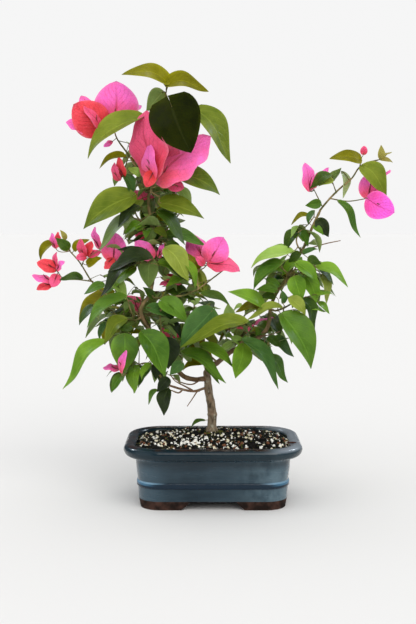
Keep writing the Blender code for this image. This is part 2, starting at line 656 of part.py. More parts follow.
    mass("right_tip", on="right_upper", at_tip=True,
         stem=[(124, 337, 6), (134, 349, 6), (146, 361, 7), (159, 372, 7), (167, 384, 7),
               (177, 390, 6), (189, 393, 5)],
         twigs=[[(135, 349, 6), (155, 346, 0), (176, 349, -2)],
                [(141, 357, 6), (137, 368, 2)],
                [(125, 341, 6), (116, 359, 2)],
                [(168, 385, 7), (170, 396, 4)]],
         leaves=[("olive", 168, 393, 133, 394, 14, 2, 0),
                 ("moss", 171, 386, 199, 352, 24, -6, -6),
                 ("dark", 134, 376, 111, 360, 12, -4, -2),
                 ("pale", 137, 370, 147, 384, -9, 0, 2),
                 ("pale", 137, 370, 121, 363, 8, -8, 0),
                 ("pale", 147, 379, 149, 349, 9, 12, 0),
                 ("green", 144, 345, 170, 304, 9, -6, -2),
                 ("green", 123, 344, 106, 341, 11, 0, 0),
                 ("young", 191, 395, 192, 410, 8, 2, 2),
                 ("young", 192, 393, 206, 390, 5, 2, 0),
                 ("young", 196, 396, 205, 402, 3, 6, 2)],
         bracts=[("pink", 111, 358, 105, 390, 15, -2, -2),
                 ("pink", 116, 362, 133, 384, 9, 8, 4),
                 ("pink", 178, 349, 183, 380, 27, 2, 6),
                 ("magenta", 177, 349, 211, 333, 31, -4, -8),
                 ("pink", 181, 352, 203, 382, 9, 10, 4),
                 ("crimson", 172, 399, 173, 409, 8, 2, 0)])
    mass("back_crown", on="leader_upper",
         stem=[(-69, 286, 22), (-74, 318, 44), (-76, 358, 62), (-68, 404, 64)],
         more=16, flowers=2, space=((-124, -14), (262, 470), (8, 128)))
    mass("back_left", on="leader_lower",
         stem=[(-80, 212, 16), (-92, 214, 40), (-108, 218, 70), (-112, 226, 92)],
         more=12, flowers=1, space=((-175, -36), (160, 290), (8, 136)))
    mass("back_middle", on="leader_lower",
         stem=[(-42, 172, 24), (-30, 190, 44), (-22, 212, 68), (-22, 234, 90)],
         more=11, flowers=1, space=((-84, 34), (145, 296), (10, 136)))
    mass("back_right", on="right_bough",
         stem=[(30, 186, 18), (38, 198, 38), (50, 208, 62), (68, 216, 80)],
         more=11, flowers=1, space=((-14, 120), (145, 275), (8, 130)))
    mass("back_arm", on="right_upper",
         stem=[(88, 256, 16), (92, 264, 38), (102, 280, 56)],
         more=12, space=((36, 152), (196, 345), (8, 108)))


# Pot and soil

def rounded_ring(inset, z, side_steps=(1, 1)):
    """A rectangle with round corners this far inside the rim's outermost edge, turning left.

    Its long and its short straight sides are cut into this many steps."""
    half_x, half_y = RIM_X - inset, RIM_Y - inset
    radius = max(RIM_CORNER - inset, 18.0)
    arcs = []
    for corner in range(4):
        middle = math.pi / 2 * corner + math.pi / 4
        x = math.copysign(half_x - radius, math.cos(middle))
        y = math.copysign(half_y - radius, math.sin(middle))
        turns = [math.pi / 2 * (corner + step / CORNER_STEPS) for step in range(CORNER_STEPS + 1)]
        arcs.append(np.array([(x + radius * math.cos(turn), y + radius * math.sin(turn), z)
                              for turn in turns]))
    ring = []
    for corner, arc in enumerate(arcs):
        side = np.array((arc[-1], arcs[(corner + 1) % 4][0]))
        ring += [arc, straight(side, side_steps[corner % 2])[1:-1]]
    return np.vstack(ring)


def inner_wall():
    """The inside of the pot from the lip down to the floor, as (inset, z)."""
    return ((BODY_IN + 0.9, 62.0), (BODY_IN + WALL, 52.0), (BODY_IN + WALL + 3.0, FLOOR_Z + 2.5),
            (BODY_IN + WALL + 5.5, FLOOR_Z))


def pot_shape():
    """Foot, tapering body with a ridge round it, rolled rim, and the hollow inside."""
    foot_in = BODY_IN + BODY_TAPER
    under_rim = POT_HEIGHT - RIM_BAND
    ridge_in = BODY_IN + 1.1
    profile = ((foot_in + 1.9, 0.0), (foot_in + 0.9, FOOT_HEIGHT - 0.2),
               (foot_in, FOOT_HEIGHT + 0.3), (ridge_in + 1.3, RIDGE_Z - 3.0),
               (ridge_in, RIDGE_Z - 1.5), (ridge_in, RIDGE_Z + 1.5),
               (ridge_in + 1.0, RIDGE_Z + 3.0), (BODY_IN + 0.6, 46.0),
               (BODY_IN - 0.4, under_rim - 2.5), (BODY_IN - 3.2, under_rim - 0.6),
               (4.6, under_rim + 0.4), (1.4, under_rim + 3.0),
               (0.0, POT_HEIGHT - 6.0), (1.6, POT_HEIGHT - 2.6), (5.0, POT_HEIGHT - 0.5),
               (9.0, POT_HEIGHT), (12.2, POT_HEIGHT - 1.3), (BODY_IN + 0.2, POT_HEIGHT - 4.0))
    return loft([rounded_ring(*row) for row in profile + inner_wall()])


def swell(x, y):
    """Rise of the humps at a place: two crossed sines, whose crests stand SWELL_APART from each other."""
    pace = math.pi * math.sqrt(2) / SWELL_APART
    return SWELL / 2 * np.sin(pace * x) * np.sin(pace * (y + SWELL_APART / 4))


def soil_shape():
    """Soil that fills the pot one gap off its inside, and rises in humps to a flat patch at the trunk."""
    rings = [rounded_ring(inset + GAP, z + GAP, SOIL_SIDE_STEPS) for inset, z in reversed(inner_wall())]
    edge = rounded_ring(BODY_IN + 0.6 + GAP, SOIL_EDGE_Z, SOIL_SIDE_STEPS)
    rings.append(edge)
    centre = np.array(TRUNK_FOOT) - (0, 0, GAP)
    outward = edge - edge.mean(axis=0)
    patch = centre + PATCH_RADIUS * outward * (1, 1, 0) / np.linalg.norm(outward, axis=1)[:, None]
    for share in TOP_SHARES:
        ring = edge + (patch - edge) * share
        ring[:, 2] = SOIL_EDGE_Z + (centre[2] - SOIL_EDGE_Z) * math.sin(share * math.pi / 2)
        if share < 1:
            ring[:, 2] += swell(ring[:, 0], ring[:, 1])
        rings.append(ring)
    return loft(rings)


def box_shape(x, y, z):
    """A box over these three ranges."""
    corners = ((x[0], y[0]), (x[1], y[0]), (x[1], y[1]), (x[0], y[1]))
    return loft([np.array([(a, b, height) for a, b in corners]) for height in z])


def foot_cutters():
    """The gaps between the four feet, the hollow they stand round, and two drain holes."""
    beyond = 1.2 * RIM_X
    top = FOOT_HEIGHT - 0.2
    rings = []
    for half, z in ((FOOT_GAP_X / 2 + FOOT_SLANT, -BELOW), (FOOT_GAP_X / 2 - FOOT_SLANT, top)):
        rings.append(np.array(((-half, -beyond, z), (half, -beyond, z),
                               (half, beyond, z), (-half, beyond, z))))
    front = loft(rings)
    sides = box_shape((-beyond, beyond), (-FOOT_GAP_Y / 2, FOOT_GAP_Y / 2), (-BELOW, top))
    inset = BODY_IN + BODY_TAPER + FOOT_WIDTH
    hollow = loft([rounded_ring(inset, -BELOW), rounded_ring(inset, top + 0.8)])
    drains = []
    for x in (-DRAIN_X, DRAIN_X):
        line = np.array([(x, 0.0, z) for z in (top - 2.0, FLOOR_Z + 4.0)])
        drains.append(tube(line, (DRAIN_RADIUS, DRAIN_RADIUS), 12))
    return [front, sides, hollow] + drains


# Objects

def material_of(finish):
    material = bpy.data.materials.get(finish)
    if material is None:
        colour, roughness = FINISH[finish]
        material = bpy.data.materials.new(finish)
        material.use_nodes = True
        shader = material.node_tree.nodes["Principled BSDF"]
        shader.inputs["Base Color"].default_value = (*colour, 1.0)
        shader.inputs["Roughness"].default_value = roughness
    return material


def add_object(name, shape, finish, collection):
    points, faces = shape
    mesh = bpy.data.meshes.new(name)
    mesh.from_pydata((points * MM).tolist(), [], faces)
    if finish in ROUND:
        mesh.shade_smooth()
        mesh.set_sharp_from_angle(angle=SHARP_ANGLE)
    mesh.materials.append(material_of(finish))
    obj = bpy.data.objects.new(name, mesh)
    collection.objects.link(obj)
    return obj


def fused(name, shapes, finish, scene_objects):
    """One object of all the shapes by one Boolean union on a collection, loose scraps dropped."""
    obj = add_object(name, shapes[0], finish, scene_objects)
    if len(shapes) == 1:
        return obj
    others = bpy.data.collections.new(name + "_parts")
    bpy.context.scene.collection.children.link(others)
    for number, shape in enumerate(shapes[1:]):
        add_object(f"{name}_{number}", shape, finish, others)
    union = obj.modifiers.new("union", "BOOLEAN")
    union.operation = "UNION"
    union.operand_type = "COLLECTION"
    union.collection = others
    union.solver = "MANIFOLD"
    bpy.context.view_layer.update()
    whole = bpy.data.meshes.new_from_object(obj.evaluated_get(bpy.context.evaluated_depsgraph_get()))
    obj.modifiers.clear()
    obj.data = whole
    for other in list(others.objects):
        bpy.data.objects.remove(other)
    bpy.data.collections.remove(others)
    keep_largest(whole)
    return obj


def keep_largest(mesh):
    """Removes every shell but the largest: loose scraps, and hollows that the union sealed."""
    shells = bmesh.new()
    shells.from_mesh(mesh)
    waiting = set(shells.verts)
    groups = []
    while waiting:
        front = [waiting.pop()]
        group = list(front)
        while front:
            for edge in front.pop().link_edges:
                for vert in edge.verts:
                    if vert in waiting:
                        waiting.remove(vert)
                        group.append(vert)
                        front.append(vert)
        groups.append(group)
    groups.sort(key=len)
    for group in groups[:-1]:
        bmesh.ops.delete(shells, geom=group, context="VERTS")
    shells.to_mesh(mesh)
    shells.free()


def add_pot(scene_objects):
    pot = add_object("pot", pot_shape(), "glaze", scene_objects)
    for number, shape in enumerate(foot_cutters()):
        cutter = add_object(f"foot_cutter_{number}", shape, "glaze", scene_objects)
        cutter.hide_render = True
        cutter.display_type = "WIRE"
        cut = pot.modifiers.new(cutter.name, "BOOLEAN")
        cut.operation = "DIFFERENCE"
        cut.object = cutter
    return pot


def centre_on_ground(scene_objects):
    """Moves everything so that the middle of the whole plant's box stands over the origin."""
    bpy.context.view_layer.update()
    corners = np.array([obj.matrix_world @ Vector(corner) for obj in scene_objects.objects
                        if not obj.hide_render for corner in obj.bound_box])
    middle = (corners.min(axis=0) + corners.max(axis=0)) / 2
    for obj in scene_objects.objects:
        obj.location = (-middle[0], -middle[1], 0.0)


def main():
    for obj in list(bpy.data.objects):
        bpy.data.objects.remove(obj)
    scene_objects = bpy.context.scene.collection
    add_pot(scene_objects)
    add_object("soil", soil_shape(), "soil", scene_objects)
    for name, shapes, finish in plan_limbs():
        fused(name, shapes, finish, scene_objects)
    plan_masses()
    for plan in MASSES:
        grow_wood(plan)
    for seed, plan in enumerate(MASSES):
        grow_leaves(plan, seed)
        fused(plan["name"], plan["wood"] + [blade(leaf) for leaf in plan["grown"]], "foliage",
              scene_objects)
    centre_on_ground(scene_objects)


main()
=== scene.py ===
# %% [markdown]
# # A bougainvillea bonsai in a glazed pot
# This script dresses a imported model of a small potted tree. The model gives every limb, mass of leaves and
# wall its place, in metres, with +Z up and the front towards -Y. Here each of them gets its true surface:
# bark with relief, thin arched leaves, papery bracts, gritty soil and a blue glaze. The first cell loads
# the model as a fixed frame.

# %% Load the frame
import math

import bpy
import numpy as np
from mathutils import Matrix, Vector


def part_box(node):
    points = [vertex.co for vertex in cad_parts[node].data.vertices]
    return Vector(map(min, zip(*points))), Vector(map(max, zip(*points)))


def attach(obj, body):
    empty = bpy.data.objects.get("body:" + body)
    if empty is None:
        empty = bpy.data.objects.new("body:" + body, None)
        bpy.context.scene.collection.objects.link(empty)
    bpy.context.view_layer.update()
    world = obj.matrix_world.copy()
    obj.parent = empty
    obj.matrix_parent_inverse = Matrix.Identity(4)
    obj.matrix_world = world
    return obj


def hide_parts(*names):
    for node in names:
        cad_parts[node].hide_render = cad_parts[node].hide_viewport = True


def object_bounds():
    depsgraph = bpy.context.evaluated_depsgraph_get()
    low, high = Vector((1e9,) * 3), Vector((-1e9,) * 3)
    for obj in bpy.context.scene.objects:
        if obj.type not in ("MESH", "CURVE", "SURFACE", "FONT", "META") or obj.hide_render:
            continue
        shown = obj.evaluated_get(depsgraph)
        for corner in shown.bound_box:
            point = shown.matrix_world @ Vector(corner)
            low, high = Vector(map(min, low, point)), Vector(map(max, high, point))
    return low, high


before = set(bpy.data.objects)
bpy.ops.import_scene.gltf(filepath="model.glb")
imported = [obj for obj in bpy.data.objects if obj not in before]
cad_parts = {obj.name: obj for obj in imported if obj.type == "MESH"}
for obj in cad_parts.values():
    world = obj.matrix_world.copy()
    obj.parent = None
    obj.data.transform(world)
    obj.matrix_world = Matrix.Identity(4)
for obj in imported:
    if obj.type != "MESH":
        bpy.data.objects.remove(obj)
CAD_BOX = [list(corner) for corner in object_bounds()]
BODY = "root"
MM = 0.001
POT_MIDDLE = np.array((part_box("pot")[0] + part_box("pot")[1]) / 2) * (1, 1, 0)
print("nodes:", len(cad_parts), "box:", CAD_BOX)

# %% [markdown]
# ## Camera, light and floor
# The photograph was taken from a little above the rim with a short telephoto lens, so the pot's rim is a
# thin ellipse and the plant is hardly foreshortened. The plant is planned in sight lines from that eye, so
# the camera stands there exactly. Broad soft suns from the front and above and a bright room give the mild
# shading of a light tent. Three softboxes at the back only make highlights on the glaze. The room shows
# pale to the camera and dim in reflections, and the floor runs out to the same tone, which keeps the ground
# plain.

# %% Camera
EYE = np.array((-5.7, -1200.0, 315.0))       # mm from the pot's middle on the ground
LENS = 60.0
LOOKS_DOWN = math.radians(4.6)

camera_data = bpy.data.cameras.new("camera")
camera_data.lens = LENS
camera = bpy.data.objects.new("camera", camera_data)
camera.location = EYE * MM + POT_MIDDLE
camera.rotation_euler = (math.pi / 2 - LOOKS_DOWN, 0, 0)
bpy.context.scene.collection.objects.link(camera)
bpy.context.scene.camera = camera
bpy.context.scene.view_settings.view_transform = "Standard"
print("camera at", [round(value, 3) for value in camera.location])


# %% Lights
CROWN_AT = Vector((0, 0, 0.28))


def add_light(kind, name, place, size, power, tint):
    """A soft light turned to face the crown. A sun's size is its angle. The others only make highlights."""
    data = bpy.data.lights.new(name, kind)
    if kind == "SUN":
        data.angle = math.radians(size)
    else:
        data.size = size
    data.energy = power
    data.color = tint
    light = bpy.data.objects.new(name, data)
    light.location = place
    light.rotation_euler = (CROWN_AT - Vector(place)).to_track_quat("-Z", "Y").to_euler()
    light.visible_diffuse = kind == "SUN"
    light.visible_camera = False
    bpy.context.scene.collection.objects.link(light)


add_light("SUN", "key", (0.35, -1.0, 1.15), 50, 1.5, (1.0, 0.985, 0.94))
add_light("SUN", "fill", (-1.2, -0.8, 0.75), 60, 0.6, (0.98, 0.99, 1.0))
add_light("SUN", "above", (-0.2, 0.3, 1.5), 70, 0.6, (1.0, 1.0, 1.0))
add_light("AREA", "left_softbox", (-1.1, 0.7, 1.1), 0.3, 7, (0.80, 0.90, 1.0))
add_light("AREA", "right_softbox", (1.1, 0.7, 1.1), 0.3, 7, (0.80, 0.90, 1.0))
add_light("AREA", "back_softbox", (0.0, 0.8, 1.6), 0.25, 3, (1.0, 0.95, 0.90))

PALE, SHINE, ROOM = (0.92, 0.92, 0.92, 1.0), (0.13, 0.14, 0.15, 1.0), (0.80, 0.80, 0.80, 1.0)
world = bpy.data.worlds.new("pale_world")
world.use_nodes = True
links = world.node_tree.links
nodes = world.node_tree.nodes
rays = nodes.new("ShaderNodeLightPath")
behind = nodes["Background"]
behind.inputs["Color"].default_value = ROOM
last = behind.outputs[0]
for ray, colour in (("Is Glossy Ray", SHINE), ("Is Camera Ray", PALE)):
    sky = nodes.new("ShaderNodeBackground")
    sky.inputs["Color"].default_value = colour
    chosen = nodes.new("ShaderNodeMixShader")
    links.new(rays.outputs[ray], chosen.inputs[0])
    links.new(last, chosen.inputs[1])
    links.new(sky.outputs[0], chosen.inputs[2])
    last = chosen.outputs[0]
links.new(last, nodes["World Output"].inputs["Surface"])
bpy.context.scene.world = world


# %% [markdown]
# ## Shader maths as Python
# Wiring a material by hand hides what it works out. Here one class wraps a node's output and overloads the
# operators, so that an expression such as `1 - mask` adds its Math nodes by itself. Every other node comes
# from one method, which sets the node's own choices first and then its sockets.

# %% Shader expressions
class Wire:
    """The output of a shader node. Arithmetic on it adds Math nodes."""

    def __init__(self, finish, socket):
        self.finish = finish
        self.socket = socket

    def math(self, operation, *values):
        return self.finish.node("ShaderNodeMath", {"operation": operation}, dict(enumerate(values)))

    def __add__(self, other):
        return self.math("ADD", self, other)

    def __sub__(self, other):
        return self.math("SUBTRACT", self, other)

    def __rsub__(self, other):
        return self.math("SUBTRACT", other, self)

    def __mul__(self, other):
        return self.math("MULTIPLY", self, other)

    __radd__ = __add__
    __rmul__ = __mul__

    def absolute(self):
        return self.math("ABSOLUTE", self)

    def fraction(self):
        return self.math("FRACT", self)

    def step(self, low, high):
        """0 below low, 1 above high and smooth between."""
        settings = {"interpolation_type": "SMOOTHSTEP"}
        return self.finish.node("ShaderNodeMapRange", settings,
                                {"Value": self, "From Min": low, "From Max": high})


print("expressions add up, subtract, multiply and step")


# %% Finishes
class Finish:
    """A material with one Principled shader, built from expressions."""

    def __init__(self, name, **values):
        self.material = bpy.data.materials.new(name)
        self.material.use_nodes = True
        self.tree = self.material.node_tree
        self.shader = self.tree.nodes["Principled BSDF"]
        self.give(self.shader, values)

    def give(self, node, values):
        for key, value in values.items():
            name = key.replace("_", " ") if isinstance(key, str) else key
            socket = node.inputs[name]
            if isinstance(value, Wire):
                self.tree.links.new(value.socket, socket)
            elif isinstance(value, tuple) and len(value) == 3 and socket.type == "RGBA":
                socket.default_value = (*value, 1.0)
            else:
                socket.default_value = value

    def node(self, kind, settings, values, output=0):
        """Adds a node, sets its own choices, then its sockets, and gives back one output."""
        node = self.tree.nodes.new(kind)
        for name, value in settings.items():
            setattr(node, name, value)
        self.give(node, values)
        return Wire(self, node.outputs[output])

    def place(self, scale=(1, 1, 1)):
        """Object coordinates in metres, stretched by the scale."""
        coordinates = self.node("ShaderNodeTexCoord", {}, {}, "Object")
        return self.node("ShaderNodeMapping", {}, {"Vector": coordinates, "Scale": scale})

    def part(self, vector, number):
        """One of the three numbers of a vector."""
        return self.node("ShaderNodeSeparateXYZ", {}, {0: vector}, number)

    def shade(self):
        """The number that a mesh keeps for each point: a blade's own shade, or the age of wood."""
        return self.node("ShaderNodeAttribute", {"attribute_name": "shade"}, {}, "Fac")

    def noise(self, per_metre, detail=3.0, stretch=(1, 1, 1)):
        return self.node("ShaderNodeTexNoise", {}, {"Vector": self.place(stretch),
                                                    "Scale": per_metre, "Detail": detail})

    def mix(self, share, first, second):
        """The colour that lies this share of the way from the first to the second."""
        return self.node("ShaderNodeMix", {"data_type": "RGBA"}, {0: share, 6: first, 7: second}, 2)

    def layers(self, colour, *coats):
        """The colour under coats of share and tint, each laid over the one before."""
        for share, tint in coats:
            colour = self.mix(share, colour, tint)
        return colour

    def bump(self, height, distance, strength=1.0):
        self.give(self.shader, {"Normal": self.node("ShaderNodeBump", {}, {
            "Height": height, "Distance": distance, "Strength": strength})})

    def paint(self, **values):
        self.give(self.shader, values)
        return self.material


print("shader helpers ready")

# %% [markdown]
# ## Meshes from arrays
# A surface here is a grid of points worked out as one numpy array. Two helpers turn grids into meshes: one
# lists the four corners of every face of a grid that closes on itself, and one hands the arrays to Blender
# with foreach_set, which is far quicker than adding faces one by one. Shapes are planned in millimetres
# about the middle of the pot and moved to their place in metres as they are handed over, so every object
# stays at the origin.

# %% Mesh helpers
def joined(shapes):
    """One shape from several. A shape holds points, faces in blocks with their slots, and UVs and shades."""
    starts = np.cumsum([0] + [len(shape["points"]) for shape in shapes])
    return {"points": np.vstack([shape["points"] for shape in shapes]),
            "faces": [face + start for shape, start in zip(shapes, starts) for face in shape["faces"]],
            "slot": [slot for shape in shapes for slot in shape["slot"]],
            "uv": np.vstack([shape["uv"] for shape in shapes]),
            "shade": np.concatenate([shape["shade"] for shape in shapes])}


def rings_shape(rings, uv=None, slot=0, rolled=None):
    """A skin over rings of shape (copies, rings, points round, 3), closed round and capped at both ends.

    Corner (r, c) of a face joins (r, c+1), (r+1, c+1) and (r+1, c), with c counted round. A quad is cut in
    two at its first corner, so columns that are rolled by one corner are cut the other way."""
    copies, count, around = rings.shape[:3]
    index = np.arange(copies * count * around).reshape(copies, count, around)
    turned = np.roll(index, -1, axis=2)
    quads = np.stack((index[:, :-1], turned[:, :-1], turned[:, 1:], index[:, 1:]), axis=-1)
    if rolled is not None:
        quads = np.where(rolled[:, None], np.roll(quads, -1, axis=-1), quads)
    faces = [quads.reshape(-1, 4), index[:, 0, ::-1], index[:, -1]]
    slots = np.broadcast_to(slot, quads.shape[:3]).reshape(-1)
    ends = np.full(copies, slots[0])
    if uv is None:
        uv = np.zeros((index.size, 2))
    return {"points": rings.reshape(-1, 3), "faces": faces, "uv": uv, "slot": [slots, ends, ends],
            "shade": np.zeros(index.size)}


def circle(across, other, sides):
    """Directions cos a · across + sin a · other, with a in even steps round."""
    turns = 2 * math.pi * np.arange(sides) / sides
    return np.cos(turns)[:, None] * across[..., None, :] + np.sin(turns)[:, None] * other[..., None, :]


def tube_about(line, fixed, radii, sides):
    """Rings centre + r (cos a · across + sin a · other) about lines (..., points, 3), square to each line.
    A direction held fixed keeps the rings from twisting."""
    tangents = np.gradient(line, axis=-2)
    tangents /= np.linalg.norm(tangents, axis=-1)[..., None]
    across = np.cross(tangents, fixed)
    across /= np.linalg.norm(across, axis=-1)[..., None]
    return line[..., None, :] + radii * circle(across, np.cross(tangents, across), sides)


def add_piece(name, shape, finishes, replaced=(), crease=None):
    """Makes the shape an object of the part: it rides on the body and takes its finishes."""
    points = shape["points"] * MM + POT_MIDDLE
    faces = shape["faces"]
    corners = np.concatenate([face.ravel() for face in faces])
    sizes = np.concatenate([np.full(len(face), face.shape[1]) for face in faces])
    mesh = bpy.data.meshes.new(name)
    mesh.vertices.add(len(points))
    mesh.vertices.foreach_set("co", points.ravel())
    mesh.loops.add(len(corners))
    mesh.loops.foreach_set("vertex_index", corners)
    mesh.polygons.add(len(sizes))
    mesh.polygons.foreach_set("loop_start", np.concatenate(([0], np.cumsum(sizes)[:-1])))
    mesh.polygons.foreach_set("material_index", np.concatenate(shape["slot"]))
    mesh.update(calc_edges=True)
    mesh.uv_layers.new(name="UVMap").data.foreach_set("uv", shape["uv"][corners].ravel())
    mesh.attributes.new("shade", "FLOAT", "POINT").data.foreach_set("value", shape["shade"])
    mesh.shade_smooth()
    if crease:
        mesh.set_sharp_from_angle(angle=math.radians(crease))
    for finish in finishes:
        mesh.materials.append(finish)
    piece = bpy.data.objects.new(name, mesh)
    bpy.context.scene.collection.objects.link(piece)
    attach(piece, BODY)
    if replaced:
        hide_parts(*replaced)
    print(name, "triangles:", int((sizes - 2).sum()))


def smooth(points, steps=2):
    """A Catmull-Rom curve through the points, cut into this many stretches between each two."""
    points = np.array(points, dtype=float)
    ends = np.vstack((2 * points[0] - points[1], points, 2 * points[-1] - points[-2]))
    a, b, c, d = (ends[i:len(points) - 1 + i, None] for i in range(4))
    t = np.linspace(0, 1, steps, endpoint=False)[None, :, None]
    line = 0.5 * (2 * b + (c - a) * t + (2 * a - 5 * b + 4 * c - d) * t ** 2
                  + (3 * b - a - 3 * c + d) * t ** 3)
    return np.vstack((line.reshape(-1, points.shape[1]), points[-1:]))


# %% Floor
FLOOR_REACH = 60.0                   # m, so that its edge is never seen
corners = [(x * FLOOR_REACH, y * FLOOR_REACH, 0) for x, y in ((-1, -1), (1, -1), (1, 1), (-1, 1))]
floor_mesh = bpy.data.meshes.new("floor")
floor_mesh.from_pydata(corners, [], [(0, 1, 2, 3)])
floor_mesh.materials.append(Finish("pale_floor", Base_Color=(0.690, 0.690, 0.692), Roughness=1.0,
                                   Specular_IOR_Level=0.0).material)
floor = bpy.data.objects.new("floor", floor_mesh)
bpy.context.scene.collection.objects.link(floor)
print("floor reaches", FLOOR_REACH, "m")

# %% [markdown]
# ## The pot
# The real pot is pressed stoneware with round corners, a rolled rim, a ridge round its belly and four
# corner feet that are left bare of glaze. A profile carried round a rounded rectangle gives all of it. The
# feet could be cut with a Boolean, but here the bottom rows of the same grid simply rise where the pot
# stands clear of the table.

# %% Pot sizes, in millimetres
RIM_X, RIM_Y, RIM_CORNER = 101.7, 76.0, 43.0
POT_HEIGHT, RIM_BAND, BODY_IN, BODY_TAPER = 72.0, 13.5, 13.7, 3.6
RIDGE_Z, FOOT_HEIGHT, WALL, FLOOR_Z = 28.0, 9.5, 5.0, 16.0
FOOT_GAP_X, FOOT_SLANT, FOOT_GAP_Y, FOOT_WIDTH = 61.0, 5.0, 40.0, 13.0
SMALLEST_CORNER = 18.0
GLAZE_Z = 10.2                       # the glaze ends this high
SOIL_EDGE_Z = 65.4
TRUNK_FOOT = np.array((-1.0, 18.0, 74.4))
CORNER_STEPS, LONG_STEPS, SHORT_STEPS = 14, 64, 40
BESIDE_SLANT = 0.7                   # half the slant of a foot's side
LIFTED = 0.98                        # share of FOOT_HEIGHT that the pot clears between its feet
FOOT_ROWS = np.array((1.0, 0.92, 0.6, 0.3))      # rings of a foot: 1 at its sole and 0 at the glaze's end
FOOT_IN, HOLLOW_UP = 1.9, 0.6        # a foot draws in this much, and the hollow lies this far over the feet
BARE_ROWS = 6                        # rows of faces from the hollow up to the glaze's end
print("pot:", 2 * RIM_X, "by", 2 * RIM_Y, "by", POT_HEIGHT, "mm")


# %% Rounded rectangle rings
def rounded_rings(insets, heights):
    """Rings round the pot of shape (rings, points, 3), turning left from the right end.

    Each corner is a quarter circle of radius R = RIM_CORNER - inset, at least SMALLEST_CORNER, about the
    point (half_x - R, half_y - R). Each side is cut evenly between two corners."""
    insets, heights = np.atleast_1d(insets)[:, None], np.atleast_1d(heights)
    radius = np.maximum(RIM_CORNER - insets, SMALLEST_CORNER)
    flat_x, flat_y = RIM_X - insets - radius, RIM_Y - insets - radius
    turn = np.arange(CORNER_STEPS) / CORNER_STEPS * math.pi / 2
    stretches = []
    for corner, (sign_x, sign_y) in enumerate(((1, 1), (-1, 1), (-1, -1), (1, -1))):
        angle = corner * math.pi / 2 + turn
        stretches.append((sign_x * flat_x + radius * np.cos(angle),
                          sign_y * flat_y + radius * np.sin(angle)))
        along = np.linspace(1, -1, SHORT_STEPS if corner % 2 else LONG_STEPS, endpoint=False)
        x_side = (along * sign_x * flat_x, np.ones_like(along) * sign_y * (flat_y + radius))
        y_side = (np.ones_like(along) * sign_x * (flat_x + radius), along * sign_y * flat_y)
        stretches.append(y_side if corner % 2 else x_side)
    x, y = (np.concatenate(parts, axis=1) for parts in zip(*stretches))
    z = np.broadcast_to(heights.reshape(len(heights), -1), x.shape)
    return np.stack((x, y, z), axis=-1)


print("a ring has", rounded_rings(0, 0).shape[1], "points")


# %% Pot surface
def foot_lift(x, y):
    """How high the foot's edge stands at each place: 0 on a foot, full between feet, with slanted sides."""
    front = np.clip((FOOT_GAP_X / 2 + FOOT_SLANT - np.abs(x)) / (2 * FOOT_SLANT), 0, 1)
    side = np.clip((FOOT_GAP_Y / 2 + BESIDE_SLANT - np.abs(y)) / (2 * BESIDE_SLANT), 0, 1)
    return FOOT_HEIGHT * LIFTED * np.maximum(front, side)


def pot_surface():
    """The skin from the underside round the feet, up the body, over the rim and down inside to the floor.

    The profile is a list of inset and height, smoothed and carried round the rounded rectangle."""
    foot_in, under_rim, ridge_in = BODY_IN + BODY_TAPER, POT_HEIGHT - RIM_BAND, BODY_IN + 1.1
    belly = ((foot_in, GLAZE_Z), (foot_in - 0.3, 15.0), (ridge_in + 1.5, RIDGE_Z - 4.2),
             (ridge_in + 0.9, RIDGE_Z - 3.2), (ridge_in + 0.1, RIDGE_Z - 2.2), (ridge_in, RIDGE_Z),
             (ridge_in + 0.1, RIDGE_Z + 2.0), (ridge_in + 0.8, RIDGE_Z + 3.0),
             (ridge_in + 1.2, RIDGE_Z + 4.2), (BODY_IN + 0.7, 46.0), (BODY_IN, under_rim - 4.5),
             (BODY_IN - 1.6, under_rim - 1.6),
             (BODY_IN - 5.2, under_rim - 0.3), (5.0, under_rim + 0.3), (2.0, under_rim + 2.4),
             (0.5, under_rim + 5.4), (0.0, POT_HEIGHT - 5.6), (1.3, POT_HEIGHT - 2.6),
             (4.4, POT_HEIGHT - 0.7), (8.6, POT_HEIGHT), (12.0, POT_HEIGHT - 1.3),
             (BODY_IN + 0.2, POT_HEIGHT - 4.2), (BODY_IN + 0.9, 62.0), (BODY_IN + WALL, 52.0),
             (BODY_IN + WALL + 1.5, 30.0), (BODY_IN + WALL + 3.0, FLOOR_Z + 2.5),
             (BODY_IN + WALL + 5.5, FLOOR_Z))
    line = smooth(belly, 3)
    body = rounded_rings(line[:, 0], line[:, 1])
    foot = rounded_rings(foot_in + FOOT_IN * FOOT_ROWS, GLAZE_Z * (1 - FOOT_ROWS))
    lift = foot_lift(foot[..., 0], foot[..., 1])
    foot[..., 2] = GLAZE_Z - (GLAZE_Z - lift) * FOOT_ROWS[:, None]
    hollow = rounded_rings([foot_in + FOOT_WIDTH] * 2, [FOOT_HEIGHT + HOLLOW_UP] * 2)
    hollow[1, :, 2] = foot_lift(hollow[1, :, 0], hollow[1, :, 1])
    rings = np.concatenate((hollow, foot, body))
    bare = np.zeros((len(rings) - 1, rings.shape[1]), dtype=int)
    bare[:BARE_ROWS] = 1
    return rings_shape(rings[None], slot=bare[None])


print("the pot clears the table by", round(float(foot_lift(0, 0)), 2), "mm between its feet")


